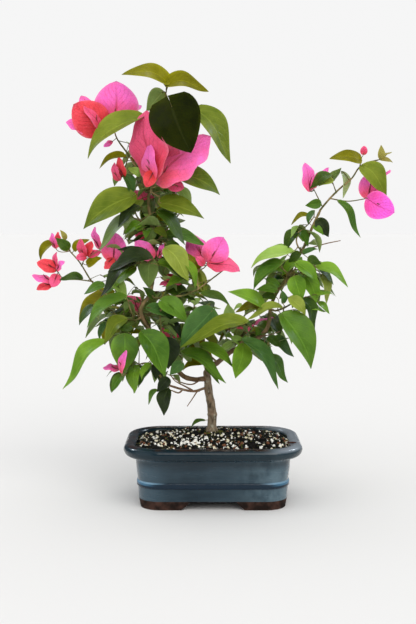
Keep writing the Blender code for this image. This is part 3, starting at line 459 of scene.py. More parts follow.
# %% Glaze and bare clay
def glaze_finish():
    """Slate blue glaze: faint brushed bands, dark ridge and rim, brown crest, painted shade and highlights.
    """
    finish = Finish("glaze", Coat_Roughness=0.05, Specular_IOR_Level=0.3)
    height, side = finish.part(finish.place(), 2), finish.part(finish.place(), 0)
    across = side.absolute()

    def near_ridge(above, far, close):
        """1 this close to a height above the ridge's middle (mm), and 0 this far off (m)."""
        return (height - (RIDGE_Z + above) * MM).absolute().step(far, close)

    # the steps of height, side and across are places in metres
    streaks = finish.noise(110, 4.0, (0.2, 0.2, 1.3)).step(0.36, 0.66)
    clouds = finish.noise(14, 3.0).step(0.3, 0.7)
    # painted sheen: the body lighter towards its right side, broken by mottling
    painted_right_sheen = side.step(0.010, 0.080) * finish.noise(75, 4.0, (1, 1, 0.6)).step(0.30, 0.62)
    ridge = near_ridge(0.0, 0.0048, 0.0024)
    glint = near_ridge(1.2, 0.0020, 0.0006) * across.step(0.062, 0.078)
    # painted highlight: a pale blue line along the ridge's top towards both ends
    painted_ridge_highlight = near_ridge(3.0, 0.0013, 0.0004) * across.step(0.050, 0.072)
    # painted shade: a darker band in the cove under the rim's overhang
    thick = height.step(0.060, 0.052) * height.step(0.044, 0.054)
    rim = height.step(0.0585, 0.061)
    crest = height.step(0.0698, 0.0712) * finish.noise(45).step(0.38, 0.56)
    # painted sheen: the rim's top paler towards the right
    painted_rim_sheen = height.step(0.0665, 0.0700) * side.step(0.050, 0.090)
    colour = finish.mix(streaks * 0.35 + clouds * 0.65, (0.000, 0.012, 0.022), (0.020, 0.045, 0.064))
    colour = finish.layers(colour,
                           # painted reflection: the glaze pales towards both ends
                           (across.step(0.045, 0.085) * 0.6, (0.062, 0.110, 0.146)),
                           (painted_right_sheen * 0.6, (0.115, 0.180, 0.215)), (ridge * 0.95, (0.000, 0.011, 0.026)),
                           (thick * 0.6, (0.000, 0.010, 0.018)), (rim * 0.85, (0.000, 0.009, 0.015)),
                           (glint * 0.6, (0.060, 0.190, 0.320)), (painted_ridge_highlight * 0.8, (0.200, 0.350, 0.480)),
                           (crest * 0.85, (0.026, 0.011, 0.008)), (painted_rim_sheen * 0.75, (0.26, 0.30, 0.35)))
    finish.bump(finish.noise(70, 2.0) + 0.3 * finish.noise(420, 2.0), 0.0006)
    return finish.paint(Base_Color=colour, Roughness=0.13 + 0.15 * streaks,
                        Coat_Weight=0.3 - 0.22 * rim - 0.26 * ridge)


def bare_clay_finish():
    """Unglazed dark brown stoneware, rough and speckled."""
    finish = Finish("bare_clay", Specular_IOR_Level=0.15)
    patches = finish.noise(90, 4.0).step(0.35, 0.7)
    finish.bump(finish.noise(700, 3.0), 0.0004)
    return finish.paint(Base_Color=finish.mix(patches, (0.013, 0.007, 0.005), (0.060, 0.029, 0.021)),
                        Roughness=0.85)


pot_finishes = [glaze_finish(), bare_clay_finish()]
add_piece("glazed_pot", pot_surface(), pot_finishes, ["pot"], crease=42)

# %% [markdown]
# ## Soil
# Bonsai soil is a loose mix: dark bark and charcoal, with white perlite and a few tan bark chips. A dark
# mound alone would look like felt, so some two thousand small stones are laid over it. Each is a coarse
# ball pulled out of shape by its own random sizes, all worked out in one array and sorted into a few plain
# colours.

# %% Soil mound
PATCH_RADIUS = 12.0                  # round the trunk
SWELL, SWELL_APART = 4.2, 27.0       # height of the soil's humps, and the way from one to the next
BED_LOW = 0.9                        # the ground lies this far under the mound, and stones stand out of it
TAPER_OUT, TAPER_IN = 0.24, 0.22     # shares of the way over which humps rise, at the pot and at the trunk
BED_RINGS, BED_ROUGH = 26, 0.35      # rings over the bed, and the spread of its small rises
SUNK = 0.3                           # the patch lies this far under the trunk's foot


def soil_height(share):
    """The mound rises from the rim's inside to the trunk as a quarter sine."""
    return SOIL_EDGE_Z + (TRUNK_FOOT[2] - SUNK - SOIL_EDGE_Z) * np.sin(share * math.pi / 2)


def swell(x, y):
    """Rise of the humps: two crossed sines, whose crests stand SWELL_APART from each other."""
    pace = math.pi * math.sqrt(2) / SWELL_APART
    return SWELL / 2 * np.sin(pace * x) * np.sin(pace * (y + SWELL_APART / 4))


def soil_top(shares):
    """Rings between the pot's inside and a small circle round the trunk, of shape (rings, points, 3)."""
    edge = rounded_rings(BODY_IN + 0.9, SOIL_EDGE_Z)[0]
    out = (edge - edge.mean(axis=0)) * (1, 1, 0)
    patch = TRUNK_FOOT + PATCH_RADIUS * out / np.linalg.norm(out, axis=1)[:, None]
    shares = np.asarray(shares)[:, None]
    rings = edge + (patch - edge) * shares[..., None]
    taper = np.clip(shares / TAPER_OUT, 0, 1) * np.clip((1 - shares) / TAPER_IN, 0, 1)
    rings[..., 2] = soil_height(shares) + taper * (swell(rings[..., 0], rings[..., 1]) - BED_LOW)
    return rings


def soil_surface():
    """A closed body: down inside the pot, and over the top with small random rises."""
    rng = np.random.default_rng(3)
    wall = ((BODY_IN + WALL + 5.8, FLOOR_Z + 0.3), (BODY_IN + WALL + 1.8, 30.3),
            (BODY_IN + WALL + 0.3, 52.0))
    sides = np.concatenate([rounded_rings(inset, z) for inset, z in wall])
    top = soil_top(np.linspace(0, 1, BED_RINGS))
    top[1:-1, :, 2] += rng.normal(0, BED_ROUGH, top[1:-1, :, 2].shape)
    return rings_shape(np.concatenate((sides, top))[None])


def soil_finish():
    """Near black and crumbly."""
    finish = Finish("dark_soil", Roughness=0.95, Specular_IOR_Level=0.15)
    crumbs = finish.noise(900, 4.0)
    colour = finish.mix(crumbs.step(0.35, 0.75), (0.002, 0.002, 0.002), (0.020, 0.014, 0.010))
    finish.bump(crumbs, 0.0015)
    return finish.paint(Base_Color=colour)


add_piece("soil_bed", soil_surface(), [soil_finish()], ["soil"])

# %% Where stones lie, and which
# colour, share of all stones, smallest and largest size in mm
GRAINS = {"perlite": ((0.96, 0.95, 0.90), 0.18, (2.3, 4.4)),
          "cream_grit": ((0.80, 0.74, 0.56), 0.12, (2.4, 4.9)),
          "grey_grit": ((0.17, 0.17, 0.16), 0.07, (1.8, 3.8)),
          "charcoal": ((0.004, 0.004, 0.004), 0.52, (2.8, 5.8)),
          "bark_chip": ((0.17, 0.068, 0.034), 0.11, (2.6, 5.4)),
          "moss_clump": ((0.085, 0.090, 0.012), 0.0, (1.8, 3.6))}
GRAIN_COUNT, SPOT_ROWS = 1900, 60
PERLITE_HEAP = (-27.0, -22.0), 22.0, 0.6, 0     # place, radius, share of its stones, their number in GRAINS
MOSS_RING = TRUNK_FOOT[:2], 17.0, 0.8, 5        # the same for the moss that grows round the trunk
MOSS_COUNT = 110                                # so many of the stones lie on the patch
CROWDED_OUT, SPREAD = 0.97, 0.84                # stones thin out towards the trunk, as rings grow shorter


def grain_spots(rng):
    """Places spread evenly over the mound, a share 1 - sqrt(1 - c x) of the way in.

    The first MOSS_COUNT lie on the patch."""
    share = (1 - np.sqrt(1 - CROWDED_OUT * rng.uniform(0, 1, GRAIN_COUNT))) / SPREAD
    place = rng.uniform(0, 1, GRAIN_COUNT)
    tops = soil_top(np.linspace(0, 1, SPOT_ROWS))
    spots = tops[(share * (SPOT_ROWS - 1)).astype(int), (place * tops.shape[1]).astype(int)]
    spin = rng.uniform(0, 2 * math.pi, MOSS_COUNT)
    out = PATCH_RADIUS * np.sqrt(rng.uniform(0.2, 1, MOSS_COUNT))
    ring = np.stack((out * np.cos(spin), out * np.sin(spin), 0 * out - SUNK), axis=-1)
    spots[:MOSS_COUNT] = TRUNK_FOOT + ring
    return spots


def grain_kinds(rng, spots):
    """The number in GRAINS of each stone: by share, with more perlite in its heap and moss in its ring."""
    kind = rng.choice(len(GRAINS), GRAIN_COUNT, p=[share for colour, share, sizes in GRAINS.values()])
    for place, radius, chance, number in (PERLITE_HEAP, MOSS_RING):
        near = np.linalg.norm(spots[:, :2] - place, axis=1) < radius
        kind = np.where(near & (rng.uniform(0, 1, GRAIN_COUNT) < chance), number, kind)
    return kind


print("kinds of stones:", list(GRAINS))


# %% Stones in the soil
RINGS, ROUND = 5, 6                  # of a stone's ball
HALF_SIZES, ROUGHNESS, TIPPED = (0.35, 0.62), (0.75, 1.2), 0.5
RAISED = 0.15                        # share of its least half size that a stone's middle is over the ground


def scattered_grains():
    """Stones over the mound. A stone is a ball, ring r at polar angle pi (r + 1/2) / RINGS, scaled by three
    random half sizes, roughened, tipped about x and turned about z."""
    rng = np.random.default_rng(11)
    spots = grain_spots(rng)
    kind = grain_kinds(rng, spots)
    low, high = np.array([sizes for colour, share, sizes in GRAINS.values()])[kind].T
    half = rng.uniform(low, high)[:, None] * rng.uniform(*HALF_SIZES, (GRAIN_COUNT, 3))
    polar = math.pi * (np.arange(RINGS) + 0.5) / RINGS
    around = 2 * math.pi * np.arange(ROUND) / ROUND
    ball = np.stack((np.outer(np.sin(polar), np.cos(around)), np.outer(np.sin(polar), np.sin(around)),
                     np.outer(np.cos(polar), np.ones(ROUND))), axis=-1)[::-1]
    rings = ball * half[:, None, None] * rng.uniform(*ROUGHNESS, (GRAIN_COUNT, RINGS, ROUND, 1))
    spin = rng.uniform(0, 2 * math.pi, (GRAIN_COUNT, 1, 1))
    tip = rng.normal(0, TIPPED, (GRAIN_COUNT, 1, 1))
    x, y, z = np.moveaxis(rings, -1, 0)
    y, z = y * np.cos(tip) - z * np.sin(tip), y * np.sin(tip) + z * np.cos(tip)
    x, y = x * np.cos(spin) - y * np.sin(spin), x * np.sin(spin) + y * np.cos(spin)
    places = spots + np.outer(RAISED * half.min(axis=1), (0, 0, 1))
    return rings_shape(np.stack((x, y, z), axis=-1) + places[:, None, None], slot=kind[:, None, None])


def plain_finish(name, colour):
    """A plain colour with a fine darker speckle."""
    finish = Finish(name, Roughness=0.85, Specular_IOR_Level=0.2)
    dark = tuple(value / 1.3 for value in colour)
    finish.bump(finish.noise(1500), 0.0003)
    return finish.paint(Base_Color=finish.mix(finish.noise(800, 3.0).step(0.3, 0.65), dark, colour))


grain_finishes = [plain_finish(name, colour) for name, (colour, share, sizes) in GRAINS.items()]
add_piece("soil_grains", scattered_grains(), grain_finishes)
print(GRAIN_COUNT, "stones of", len(GRAINS), "kinds")

# %% [markdown]
# ## Where the limbs run
# The plant is planned from its front view. A place is (u, v, depth) in millimetres: u right of the pot's
# middle and v above the ground, as seen on the upright plane through the pot's middle, and depth is how far
# behind that plane it lies. Moving a place along its sight line keeps the outline. The limbs of the model
# follow the same plan, so bark and model agree.

# %% Places and curves
def unit(vector):
    return vector / np.linalg.norm(vector)


def seen(u, v, depth):
    """The point at this depth on the sight line through (u, v) on the pot's middle plane."""
    return EYE + (np.array((u, 0.0, v)) - EYE) * (depth - EYE[1]) / -EYE[1]


def as_seen(points):
    """u and v of points, which is seen() turned round."""
    sight = EYE + (points - EYE) * (EYE[1] / (EYE[1] - points[..., 1:2]))
    return sight[..., 0], sight[..., 2]


def straight(points, steps):
    """The straight stretches between the points, each cut into this many."""
    shares = np.arange((len(points) - 1) * steps + 1) / steps
    return np.column_stack([np.interp(shares, np.arange(len(points)), column) for column in points.T])


def lengths_along(line):
    """How far along the line each of its points lies."""
    return np.concatenate(([0], np.cumsum(np.linalg.norm(np.diff(line, axis=0), axis=1))))


print("20 mm behind (100, 300) lies", seen(100, 300, 20).round(1).tolist())


# %% Where a limb starts
GAP = 0.3                            # mm between a limb or stem and what bears it
OFF_SIDE = 1.03                      # the same beside a limb, as a share of its radius
FIRST_STEP = 2.5                     # a stem leaves its parent squarely for so many mm
FIRST_SHARE = 0.4                    # or for this share of its first stretch, if that is less
LIMBS = {}                           # name -> route, radius at each point of the route, fine line, radii


def start_on(parent, at_tip, toward):
    """Where a limb or stem leaves its parent, and the way it heads: at the tip, or square off its side."""
    line, radii = LIMBS[parent][2:]
    if at_tip:
        heading = unit(line[-1] - line[-2])
        return line[-1] + heading * GAP, heading
    dense = smooth(line, 4)
    near = int(np.argmin(np.linalg.norm(dense - toward, axis=1)))
    near = min(max(near, 1), len(dense) - 2)
    along = unit(dense[near + 1] - dense[near - 1])
    heading = toward - dense[near]
    heading = unit(heading - along * (heading @ along))
    radius = np.interp(near / (len(dense) - 1), np.linspace(0, 1, len(radii)), radii)
    return dense[near] + heading * (radius * OFF_SIDE + GAP), heading


def route_from(on, at_tip, places):
    """Points from a start on a limb through the places."""
    points = [seen(*place) for place in places]
    start, heading = start_on(on, at_tip, points[0])
    first = start + heading * min(FIRST_STEP, FIRST_SHARE * np.linalg.norm(points[0] - start))
    return np.array([start, first] + points)


def limb(name, places, radii, on=None, at_tip=False):
    """Keeps a limb's route. The radii are spread evenly along it."""
    if on is None:
        route = np.array([TRUNK_FOOT] + [seen(*place) for place in places[1:]])
    else:
        route = route_from(on, at_tip, places)
    line = smooth(route)
    widths = [np.interp(np.linspace(0, 1, count), np.linspace(0, 1, len(radii)), radii)
              for count in (len(route), len(line))]
    LIMBS[name] = route, widths[0], line, widths[1]


print("each limb and stem starts", GAP, "mm off what bears it")


# %% The limbs
limb("trunk", [(-1, 78, 18), (-1, 84, 18), (-1, 101, 18), (-4, 121, 17), (-6, 139, 15), (-6, 150, 14)],
     (6.8, 5.3, 5.0, 4.6, 4.2, 3.9))
limb("leader_lower", [(-23, 140, 13), (-37, 146, 11), (-56, 172, 5), (-71, 194, 0), (-83, 216, -4)],
     (2.9, 2.6, 2.4), on="trunk")
limb("leader_upper", [(-81, 228, -3), (-73, 238, -1), (-70, 253, 1), (-67, 269, 3), (-67, 289, 5),
                      (-70, 312, 6), (-72, 329, 6), (-74, 343, 5), (-73, 359, 3)],
     (2.4, 2.0, 1.6), on="leader_lower", at_tip=True)
limb("low_bough", [(-22, 126, 6), (-35, 128, 0), (-52, 133, -10)], (1.5, 1.2), on="trunk")
limb("right_bough", [(7, 161, 11), (21, 172, 7), (35, 179, 3), (48, 185, 0), (60, 195, -3)],
     (3.2, 2.6, 2.3), on="trunk", at_tip=True)
limb("right_upper", [(65, 207, -4), (66, 218, -4), (69, 231, -3), (76, 245, -2), (87, 260, 0),
                     (94, 277, 2), (103, 290, 3), (115, 318, 5), (122, 333, 6)],
     (2.3, 1.9, 1.4), on="right_bough", at_tip=True)
SPURS = ([(-16, 126, 9), (-18, 126, 7), (-24, 117, 4), (-30, 108, 2)],
         [(50, 188, -1), (54, 190, -2), (66, 192, 2), (78, 196, 4)],
         [(103, 290, 3), (106, 290, 3), (128, 297, 5), (147, 301, 3)])
print("limbs:", {name: round(lengths_along(parts[2])[-1]) for name, parts in LIMBS.items()}, "mm long")

# %% [markdown]
# ## Bark
# Old bark on the trunk is grey brown, ridged along its length and patched with lichen, and the canes above
# are tan and smooth, with a slight swelling where each leaf sat. The limbs could be sculpted, but a tube
# whose radius is multiplied by a few dozen random waves gives ridges, and bumps at chosen places give knots
# and leaf scars. Each point also carries its age, from 1 in old wood to 0 in young, and the bark's colour
# follows that.

# %% Tubes with relief
WAVES, WAVES_ROUND, WAVES_PER_MM = 36, (1, 8), (-0.45, 0.45)
WAVE_SIZE, WAVE_SHARE = (0.2, 1.0), 1 / 3    # size of one wave, and the share of their sum that is used
STEEP_LESS = 2.5                             # steep waves are lower by this much
SCAR_RISE, SCAR_REACH = (0.06, 0.2), 1.5     # height as a share of the radius, and half length in mm
FIRST_SCAR, SCAR_STRAYS = 4.0, 0.25          # mm from the foot, and a share of the gap between two


def tube_rings(line, radii, sides):
    """Rings (1, points, sides, 3) about one line, with a radius by point, or by point and side."""
    fixed = np.eye(3)[np.argmin(np.abs(line[-1] - line[0]))]
    radii = np.broadcast_to(np.asarray(radii).reshape(len(line), -1), (len(line), sides))[..., None]
    return tube_about(line, fixed, radii, sides)[None]


def bark_radii(radii, line, sides, seed, depth, scar_gap):
    """r (1 + depth · waves + scars). The waves are cosines of m·turn + k·length + phase.

    A scar swells the wood by a bell curve every scar_gap or so."""
    rng = np.random.default_rng(seed)
    length = lengths_along(line)
    turns = 2 * math.pi * np.arange(sides) / sides
    waves = np.zeros((len(line), sides))
    for _ in range(WAVES):
        around, along = rng.integers(*WAVES_ROUND), rng.uniform(*WAVES_PER_MM)
        size = rng.uniform(*WAVE_SIZE) / (1 + STEEP_LESS * abs(along))
        waves += size * np.cos(around * turns + (along * length + rng.uniform(0, 6.28))[:, None])
    scars = np.zeros(len(line))
    places = np.arange(FIRST_SCAR, length[-1], scar_gap)
    for place in places + rng.uniform(-SCAR_STRAYS, SCAR_STRAYS) * scar_gap:
        scars += rng.uniform(*SCAR_RISE) * np.exp(-((length - place) / SCAR_REACH) ** 2)
    return np.asarray(radii)[:, None] * (1 + depth * waves * WAVE_SHARE + scars[:, None])


def with_knots(rings, line, knots):
    """Pushes the skin out round each knot by height · exp(-(distance / reach)²)."""
    for u, v, depth, height, reach in knots:
        away = np.linalg.norm(rings - seen(u, v, depth), axis=-1)[..., None]
        out = rings - line[None, :, None]
        swollen = height * np.exp(-(away / reach) ** 2)
        rings = rings + swollen * out / np.linalg.norm(out, axis=-1)[..., None]
    return rings


print("bark is the sum of", WAVES, "waves")


# %% Bark finish
def bark_finish():
    """Grey brown and furrowed where old, tan or green where young, by the age of each point."""
    finish = Finish("bark", Specular_IOR_Level=0.2)
    age = finish.shade()
    furrows = finish.noise(260, 5.0, (1, 1, 0.45))
    patches = finish.noise(75, 3.0).step(0.42, 0.62)
    lichen = finish.noise(130, 4.0).step(0.56, 0.66)
    warm = finish.noise(48, 2.0).step(0.55, 0.72)
    old = finish.mix(furrows.step(0.30, 0.60), (0.055, 0.038, 0.024), (0.255, 0.195, 0.130))
    old = finish.layers(old, (patches * 0.5, (0.150, 0.120, 0.080)), (lichen * 0.65, (0.42, 0.40, 0.31)),
                        (warm * 0.45, (0.20, 0.080, 0.036)),
                        (age.step(0.98, 0.8) * 0.55, (0.230, 0.110, 0.058)))
    young = finish.mix(patches, (0.10, 0.105, 0.028), (0.30, 0.22, 0.095))
    young = finish.layers(young, (furrows.step(0.45, 0.7) * 0.5, (0.16, 0.075, 0.035)))
    finish.bump(furrows + 0.4 * finish.noise(900, 3.0), 0.0007, 0.9)
    return finish.paint(Base_Color=finish.mix(age.step(0.25, 0.75), young, old), Roughness=0.85)


BARK = bark_finish()
print("bark finish:", len(BARK.node_tree.nodes), "nodes")


# %% Limbs
BARK_SIDES, LINE_STEPS, LIMB_SCARS = 28, 14, 17.0
FLARE_REACH = 3.5                    # mm over which a limb's foot widens


def limb_shape(names, ages, seed, depth, knots=(), into=0.0, flare=0.0):
    """One skin over limbs that continue each other. Its foot reaches this far into the parent, flared."""
    route, radii = LIMBS[names[0]][:2]
    if into:
        route = np.vstack((route[0] - into * unit(route[1] - route[0]), route))
        radii = np.concatenate((radii[:1], radii))
    for name in names[1:]:
        route = np.vstack((route, LIMBS[name][0][2:]))
        radii = np.concatenate((radii, LIMBS[name][1][2:]))
    line = smooth(route, LINE_STEPS)
    shares = np.linspace(0, 1, len(line))
    radii = np.interp(shares, np.linspace(0, 1, len(radii)), radii)
    radii = radii * (1 + flare * np.exp(-lengths_along(line) / FLARE_REACH))
    rings = tube_rings(line, bark_radii(radii, line, BARK_SIDES, seed, depth, LIMB_SCARS), BARK_SIDES)
    shape = rings_shape(with_knots(rings, line, knots))
    shape["shade"] = np.repeat(np.interp(shares, np.linspace(0, 1, len(ages)), ages), BARK_SIDES)
    return shape


def twig_shape(route, ends, seed, age, sides=8, depth=0.05, scar_gap=8.0):
    """A twig through the places, tapered and aged evenly from its foot to its tip."""
    line = smooth(route, 5)
    radii = np.linspace(*ends, len(line))
    shape = rings_shape(tube_rings(line, bark_radii(radii, line, sides, seed, depth, scar_gap), sides))
    shape["shade"] = np.repeat(np.linspace(*age, len(line)), sides)
    return shape


print("a limb has", BARK_SIDES, "points round")


# %% Knots, and the limbs' piece
SUNK_FOOT = 4.5                      # a limb's skin starts this far inside its parent
SPUR_RADII, SPUR_AGE = (1.05, 0.45), (0.62, 0.62)
SPUR_SIDES, SPUR_RELIEF, SPUR_SCARS = 10, 0.1, 9.0
# u, v and depth of each knot, its height and its reach
TRUNK_KNOTS = ((3.5, 98, 13, 0.7, 3.5), (4, 113, 12, 0.6, 4.0), (-8, 92, 14, 0.5, 4.0),
               (-9, 127, 14, 1.0, 5.0), (1, 139, 10, 0.8, 5.0), (-2, 150, 9, 0.9, 4.0))
ARM_KNOTS = ((13, 165, 5, 1.1, 3.2), (24, 174, 3, 1.3, 3.0), (33, 179, 0, 1.0, 3.0),
             (61, 196, -6, 1.0, 3.0))
limb_shapes = [limb_shape(["trunk", "right_bough", "right_upper"], (1, 1, 0.85, 0.62, 0.35, 0.2, 0.1), 5,
                          0.055, TRUNK_KNOTS + ARM_KNOTS, flare=0.28),
               limb_shape(["leader_lower", "leader_upper"], (0.8, 0.6, 0.45, 0.3, 0.15), 6, 0.07,
                          into=SUNK_FOOT, flare=0.25),
               limb_shape(["low_bough"], (0.75, 0.65), 7, 0.08, into=SUNK_FOOT, flare=0.3)]
limb_shapes += [twig_shape([seen(*place) for place in spur], SPUR_RADII, seed, SPUR_AGE, SPUR_SIDES,
                           SPUR_RELIEF, SPUR_SCARS) for seed, spur in enumerate(SPURS)]
add_piece("bark_limbs", joined(limb_shapes), [BARK], list(LIMBS))

# %% [markdown]
# ## The plan of leaves and bracts
# Leaves can't be scattered at random here: in the photograph each large leaf has its own place, turn and
# colour. So every mass of foliage is a plan: the stem and twigs that it grows on, and a row for each leaf
# or bract that can be told apart. The masses behind are grown by rule alone, by the golden angle along
# their stems, as this plant sets its buds.

# %% What a mass is
MASSES = []


def mass(name, on, stem, at_tip=False, twigs=(), leaves=(), bracts=(), more=0, flowers=0, space=None):
    """The plan of a mass on a limb, with front masses first. So many more leaves and flowers grow by rule,
    inside a space: the ranges of u, v and depth.

    A leaf or bract is tone, u and v of its base and of its tip, the width that shows (negative where its
    underside shows), the depth of its base, and how much deeper its tip lies."""
    MASSES.append({"name": name, "on": on, "at_tip": at_tip, "stem": stem, "twigs": twigs, "leaves": leaves,
                   "bracts": bracts, "more": more, "flowers": flowers, "space": space})


print("a row has", len(("tone", "u0", "v0", "u1", "v1", "shown", "depth", "lean")), "values")

# %% Masses at the head of the upper leader
mass("crown_top", on="leader_upper", at_tip=True,
     stem=[(-71, 376, 1), (-67, 395, -2), (-60, 427, -6), (-56, 452, -9), (-53, 472, -10)],
     leaves=[("olive", -53, 481, -104, 489, 17, -10, 0), ("olive", -51, 478, -5, 470, 17, -10, 6),
             ("pale", -57, 470, -76, 448, -22, 0, 12), ("deep", -50, 461, -25, 401, 57, -42, -2),
             ("moss", -19, 449, 20, 389, 26, 0, 10), ("moss", -83, 440, -143, 394, 21, -18, -6)])
mass("bloom_top", on="leader_upper",
     stem=[(-80, 363, -2), (-84, 377, -4), (-97, 399, -4), (-109, 416, -2), (-113, 427, 0)],
     twigs=[[(-97, 397, -4), (-100, 386, -8), (-104, 376, -8)]],
     leaves=[("olive", -101, 396, -130, 383, 8, 0, 0), ("olive", -93, 395, -77, 387, 9, 4, 4),
             ("grey", -105, 379, -113, 363, 9, 2, 4), ("teal", -102, 375, -92, 351, 12, -12, 2),
             ("lime", -84, 375, -98, 384, 9, -8, 0)],
     bracts=[("pink", -112, 434, -110, 482, 51, 6, -6), ("coral", -124, 426, -159, 456, 42, -2, -8),
             ("pink", -128, 430, -151, 465, 23, 6, 4), ("crimson", -129, 428, -147, 454, 10, -14, -4),
             ("pink", -136, 428, -168, 436, 15, 2, 4), ("pink", -108, 434, -81, 454, 14, 14, 8),
             ("crimson", -107, 370, -113, 390, 9, -10, 2), ("coral", -102, 374, -108, 396, 10, -12, -4),
             ("pink", -115, 414, -125, 408, 6, 2, 0)])
mass("crown_heart", on="leader_upper",
     stem=[(-72, 354, -8), (-70, 361, -18), (-66, 368, -28)],
     twigs=[[(-71, 357, -12), (-61, 350, -12)], [(-70, 361, -18), (-54, 367, -14)]],
     leaves=[("moss", -40, 377, 8, 353, 23, -8, 8), ("moss", -61, 344, -10, 326, 20, -14, 4),
             ("olive", -63, 338, -54, 331, 9, -10, 4)],
     bracts=[("crimson", -68, 374, -75, 449, 38, -18, 12), ("pink", -69, 370, -72, 412, 16, -32, -4),
             ("pink", -64, 370, -2, 419, 41, -22, 0), ("crimson", -65, 372, -39, 413, 28, -14, 8),
             ("coral", -68, 380, -77, 362, 15, -38, -4), ("crimson", -52, 367, -33, 361, 15, -14, -4)])
print(len(MASSES), "masses planned")

# %% Masses along the upper leader
mass("crown_left", on="leader_upper",
     stem=[(-80, 321, -6), (-88, 330, -12), (-91, 343, -14)],
     twigs=[[(-80, 321, -6), (-93, 328, -14)]],
     leaves=[("moss", -93, 351, -149, 314, 31, -16, -4), ("deep", -86, 339, -109, 316, 14, -26, -6),
             ("grey", -94, 328, -132, 289, 13, -22, -6), ("bright", -83, 319, -102, 309, 10, -14, 0)])
mass("bloom_left", on="leader_upper",
     stem=[(-77, 275, -5), (-93, 275, -8), (-112, 277, -6)],
     twigs=[[(-93, 275, -8), (-98, 272, -18)]],
     leaves=[("deep", -79, 282, -111, 290, 9, -14, -2), ("deep", -73, 280, -121, 265, 17, -18, -2),
             ("deep", -91, 274, -130, 236, 14, -28, -8), ("grey", -69, 314, -77, 298, 13, 6, 0),
             ("grey", -73, 279, -74, 246, 22, 8, 2), ("bright", -90, 268, -127, 236, 19, -4, 0)],
     bracts=[("pink", -115, 277, -112, 310, 29, -4, 4), ("pink", -131, 292, -136, 317, 8, 2, 4),
             ("coral", -115, 281, -125, 268, 10, -8, -4), ("pink", -69, 281, -90, 300, 19, -8, -2),
             ("pink", -63, 282, -52, 298, 8, -2, 0)])
mass("crown_right", on="leader_upper",
     stem=[(-61, 303, -2), (-49, 319, 0), (-35, 336, 4)],
     twigs=[[(-61, 303, -2), (-54, 297, -14)], [(-54, 297, -14), (-31, 279, -16)]],
     leaves=[("dark", -62, 333, -32, 296, 15, -16, -2), ("green", -53, 306, -7, 294, 14, -8, 0),
             ("dark", -54, 297, -33, 275, 15, -16, 0), ("straw", -54, 292, -28, 254, 24, -26, -2),
             ("bright", -32, 277, -21, 246, 9, -20, 0), ("moss", -66, 314, -52, 304, 9, -6, -4),
             ("olive", -65, 327, -53, 323, 7, 2, 4), ("bright", -63, 274, -28, 253, 14, -14, -2)],
     bracts=[("crimson", -54, 260, -36, 251, 10, 0, 0), ("crimson", -47, 253, -62, 250, 6, -4, 0)])
mass("bloom_right", on="leader_upper",
     stem=[(-67, 235, -7), (-54, 235, -9), (-33, 238, -10), (-19, 244, -10), (3, 260, -8), (17, 271, -6)],
     twigs=[[(-17, 246, -10), (-18, 264, -6), (-11, 269, -4), (-6, 274, -2)],
            [(-18, 262, -6), (-25, 280, -4)]],
     leaves=[("olive", -20, 266, -29, 286, 10, -4, 0), ("moss", -17, 264, -9, 238, 12, -2, 4),
             ("dark", -13, 238, 20, 225, 10, -14, -2), ("olive", -29, 266, -24, 286, 13, 4, 2),
             ("straw", -26, 267, -7, 237, 16, 0, 2), ("dark", -69, 235, -81, 247, 9, 8, 0)],
     bracts=[("pink", -10, 277, -26, 308, 26, 4, 8), ("pink", -5, 276, 12, 305, 31, -4, -4),
             ("crimson", -5, 275, 31, 265, 17, -8, -4), ("pink", -12, 275, -30, 297, 20, 10, 4),
             ("crimson", -10, 273, -20, 282, 9, -10, -2)])
print(len(MASSES), "masses planned")

# %% Masses at the left
mass("left_spray", on="leader_lower",
     stem=[(-89, 218, -1), (-102, 227, 1), (-125, 240, -4), (-140, 254, -8), (-153, 275, -8),
           (-165, 289, -6)],
     twigs=[[(-140, 254, -8), (-156, 256, -12), (-172, 257, -14), (-180, 266, -15)],
            [(-151, 273, -8), (-147, 283, -9)]],
     leaves=[("olive", -184, 298, -198, 277, 9, -2, 0), ("dark", -166, 292, -181, 304, 12, -14, -4),
             ("young", -170, 302, -176, 313, 6, -8, 0), ("dark", -152, 257, -179, 256, 9, -18, -2),
             ("olive", -159, 290, -142, 302, 9, 0, 4), ("olive", -144, 273, -128, 281, 10, -4, 0),
             ("green", -126, 250, -149, 239, 10, -12, -2)],
     bracts=[("pink", -181, 292, -185, 310, 7, -8, 0), ("coral", -177, 294, -179, 311, 7, -4, 2),
             ("coral", -181, 268, -203, 276, 15, -14, -6), ("crimson", -181, 269, -180, 288, 6, -12, 2),
             ("pink", -180, 267, -171, 277, 7, -16, -4), ("pink", -186, 254, -209, 261, 9, -14, 0),
             ("crimson", -180, 262, -186, 247, 13, -18, -6), ("coral", -184, 251, -204, 245, 10, -14, -2),
             ("crimson", -147, 283, -153, 303, 10, -10, -4), ("coral", -146, 284, -139, 300, 10, -10, -4),
             ("crimson", -146, 283, -158, 281, 9, -13, -4), ("crimson", -145, 284, -129, 288, 9, -6, 4)])
mass("left_lower", on="leader_lower",
     stem=[(-91, 209, -8), (-103, 210, -12), (-109, 200, -15), (-121, 186, -18)],
     twigs=[[(-91, 209, -8), (-96, 223, -20), (-99, 234, -23)], [(-109, 200, -15), (-103, 193, -24)]],
     leaves=[("green", -102, 235, -146, 199, 14, -26, -6), ("olive", -116, 239, -155, 207, 19, -12, -6),
             ("dark", -139, 225, -155, 203, 9, -10, 0), ("moss", -101, 209, -126, 182, 16, -18, -2),
             ("bright", -125, 182, -175, 128, 15, -22, -6), ("green", -102, 191, -105, 147, 31, -28, -2),
             ("dark", -95, 203, -107, 196, 9, -22, -2), ("grey", -89, 206, -119, 193, -16, -6, 4),
             ("teal", -124, 205, -131, 185, 7, -10, 0), ("moss", -103, 206, -119, 193, 13, -2, 0),
             ("dark", -108, 203, -95, 196, 9, -22, -2)])
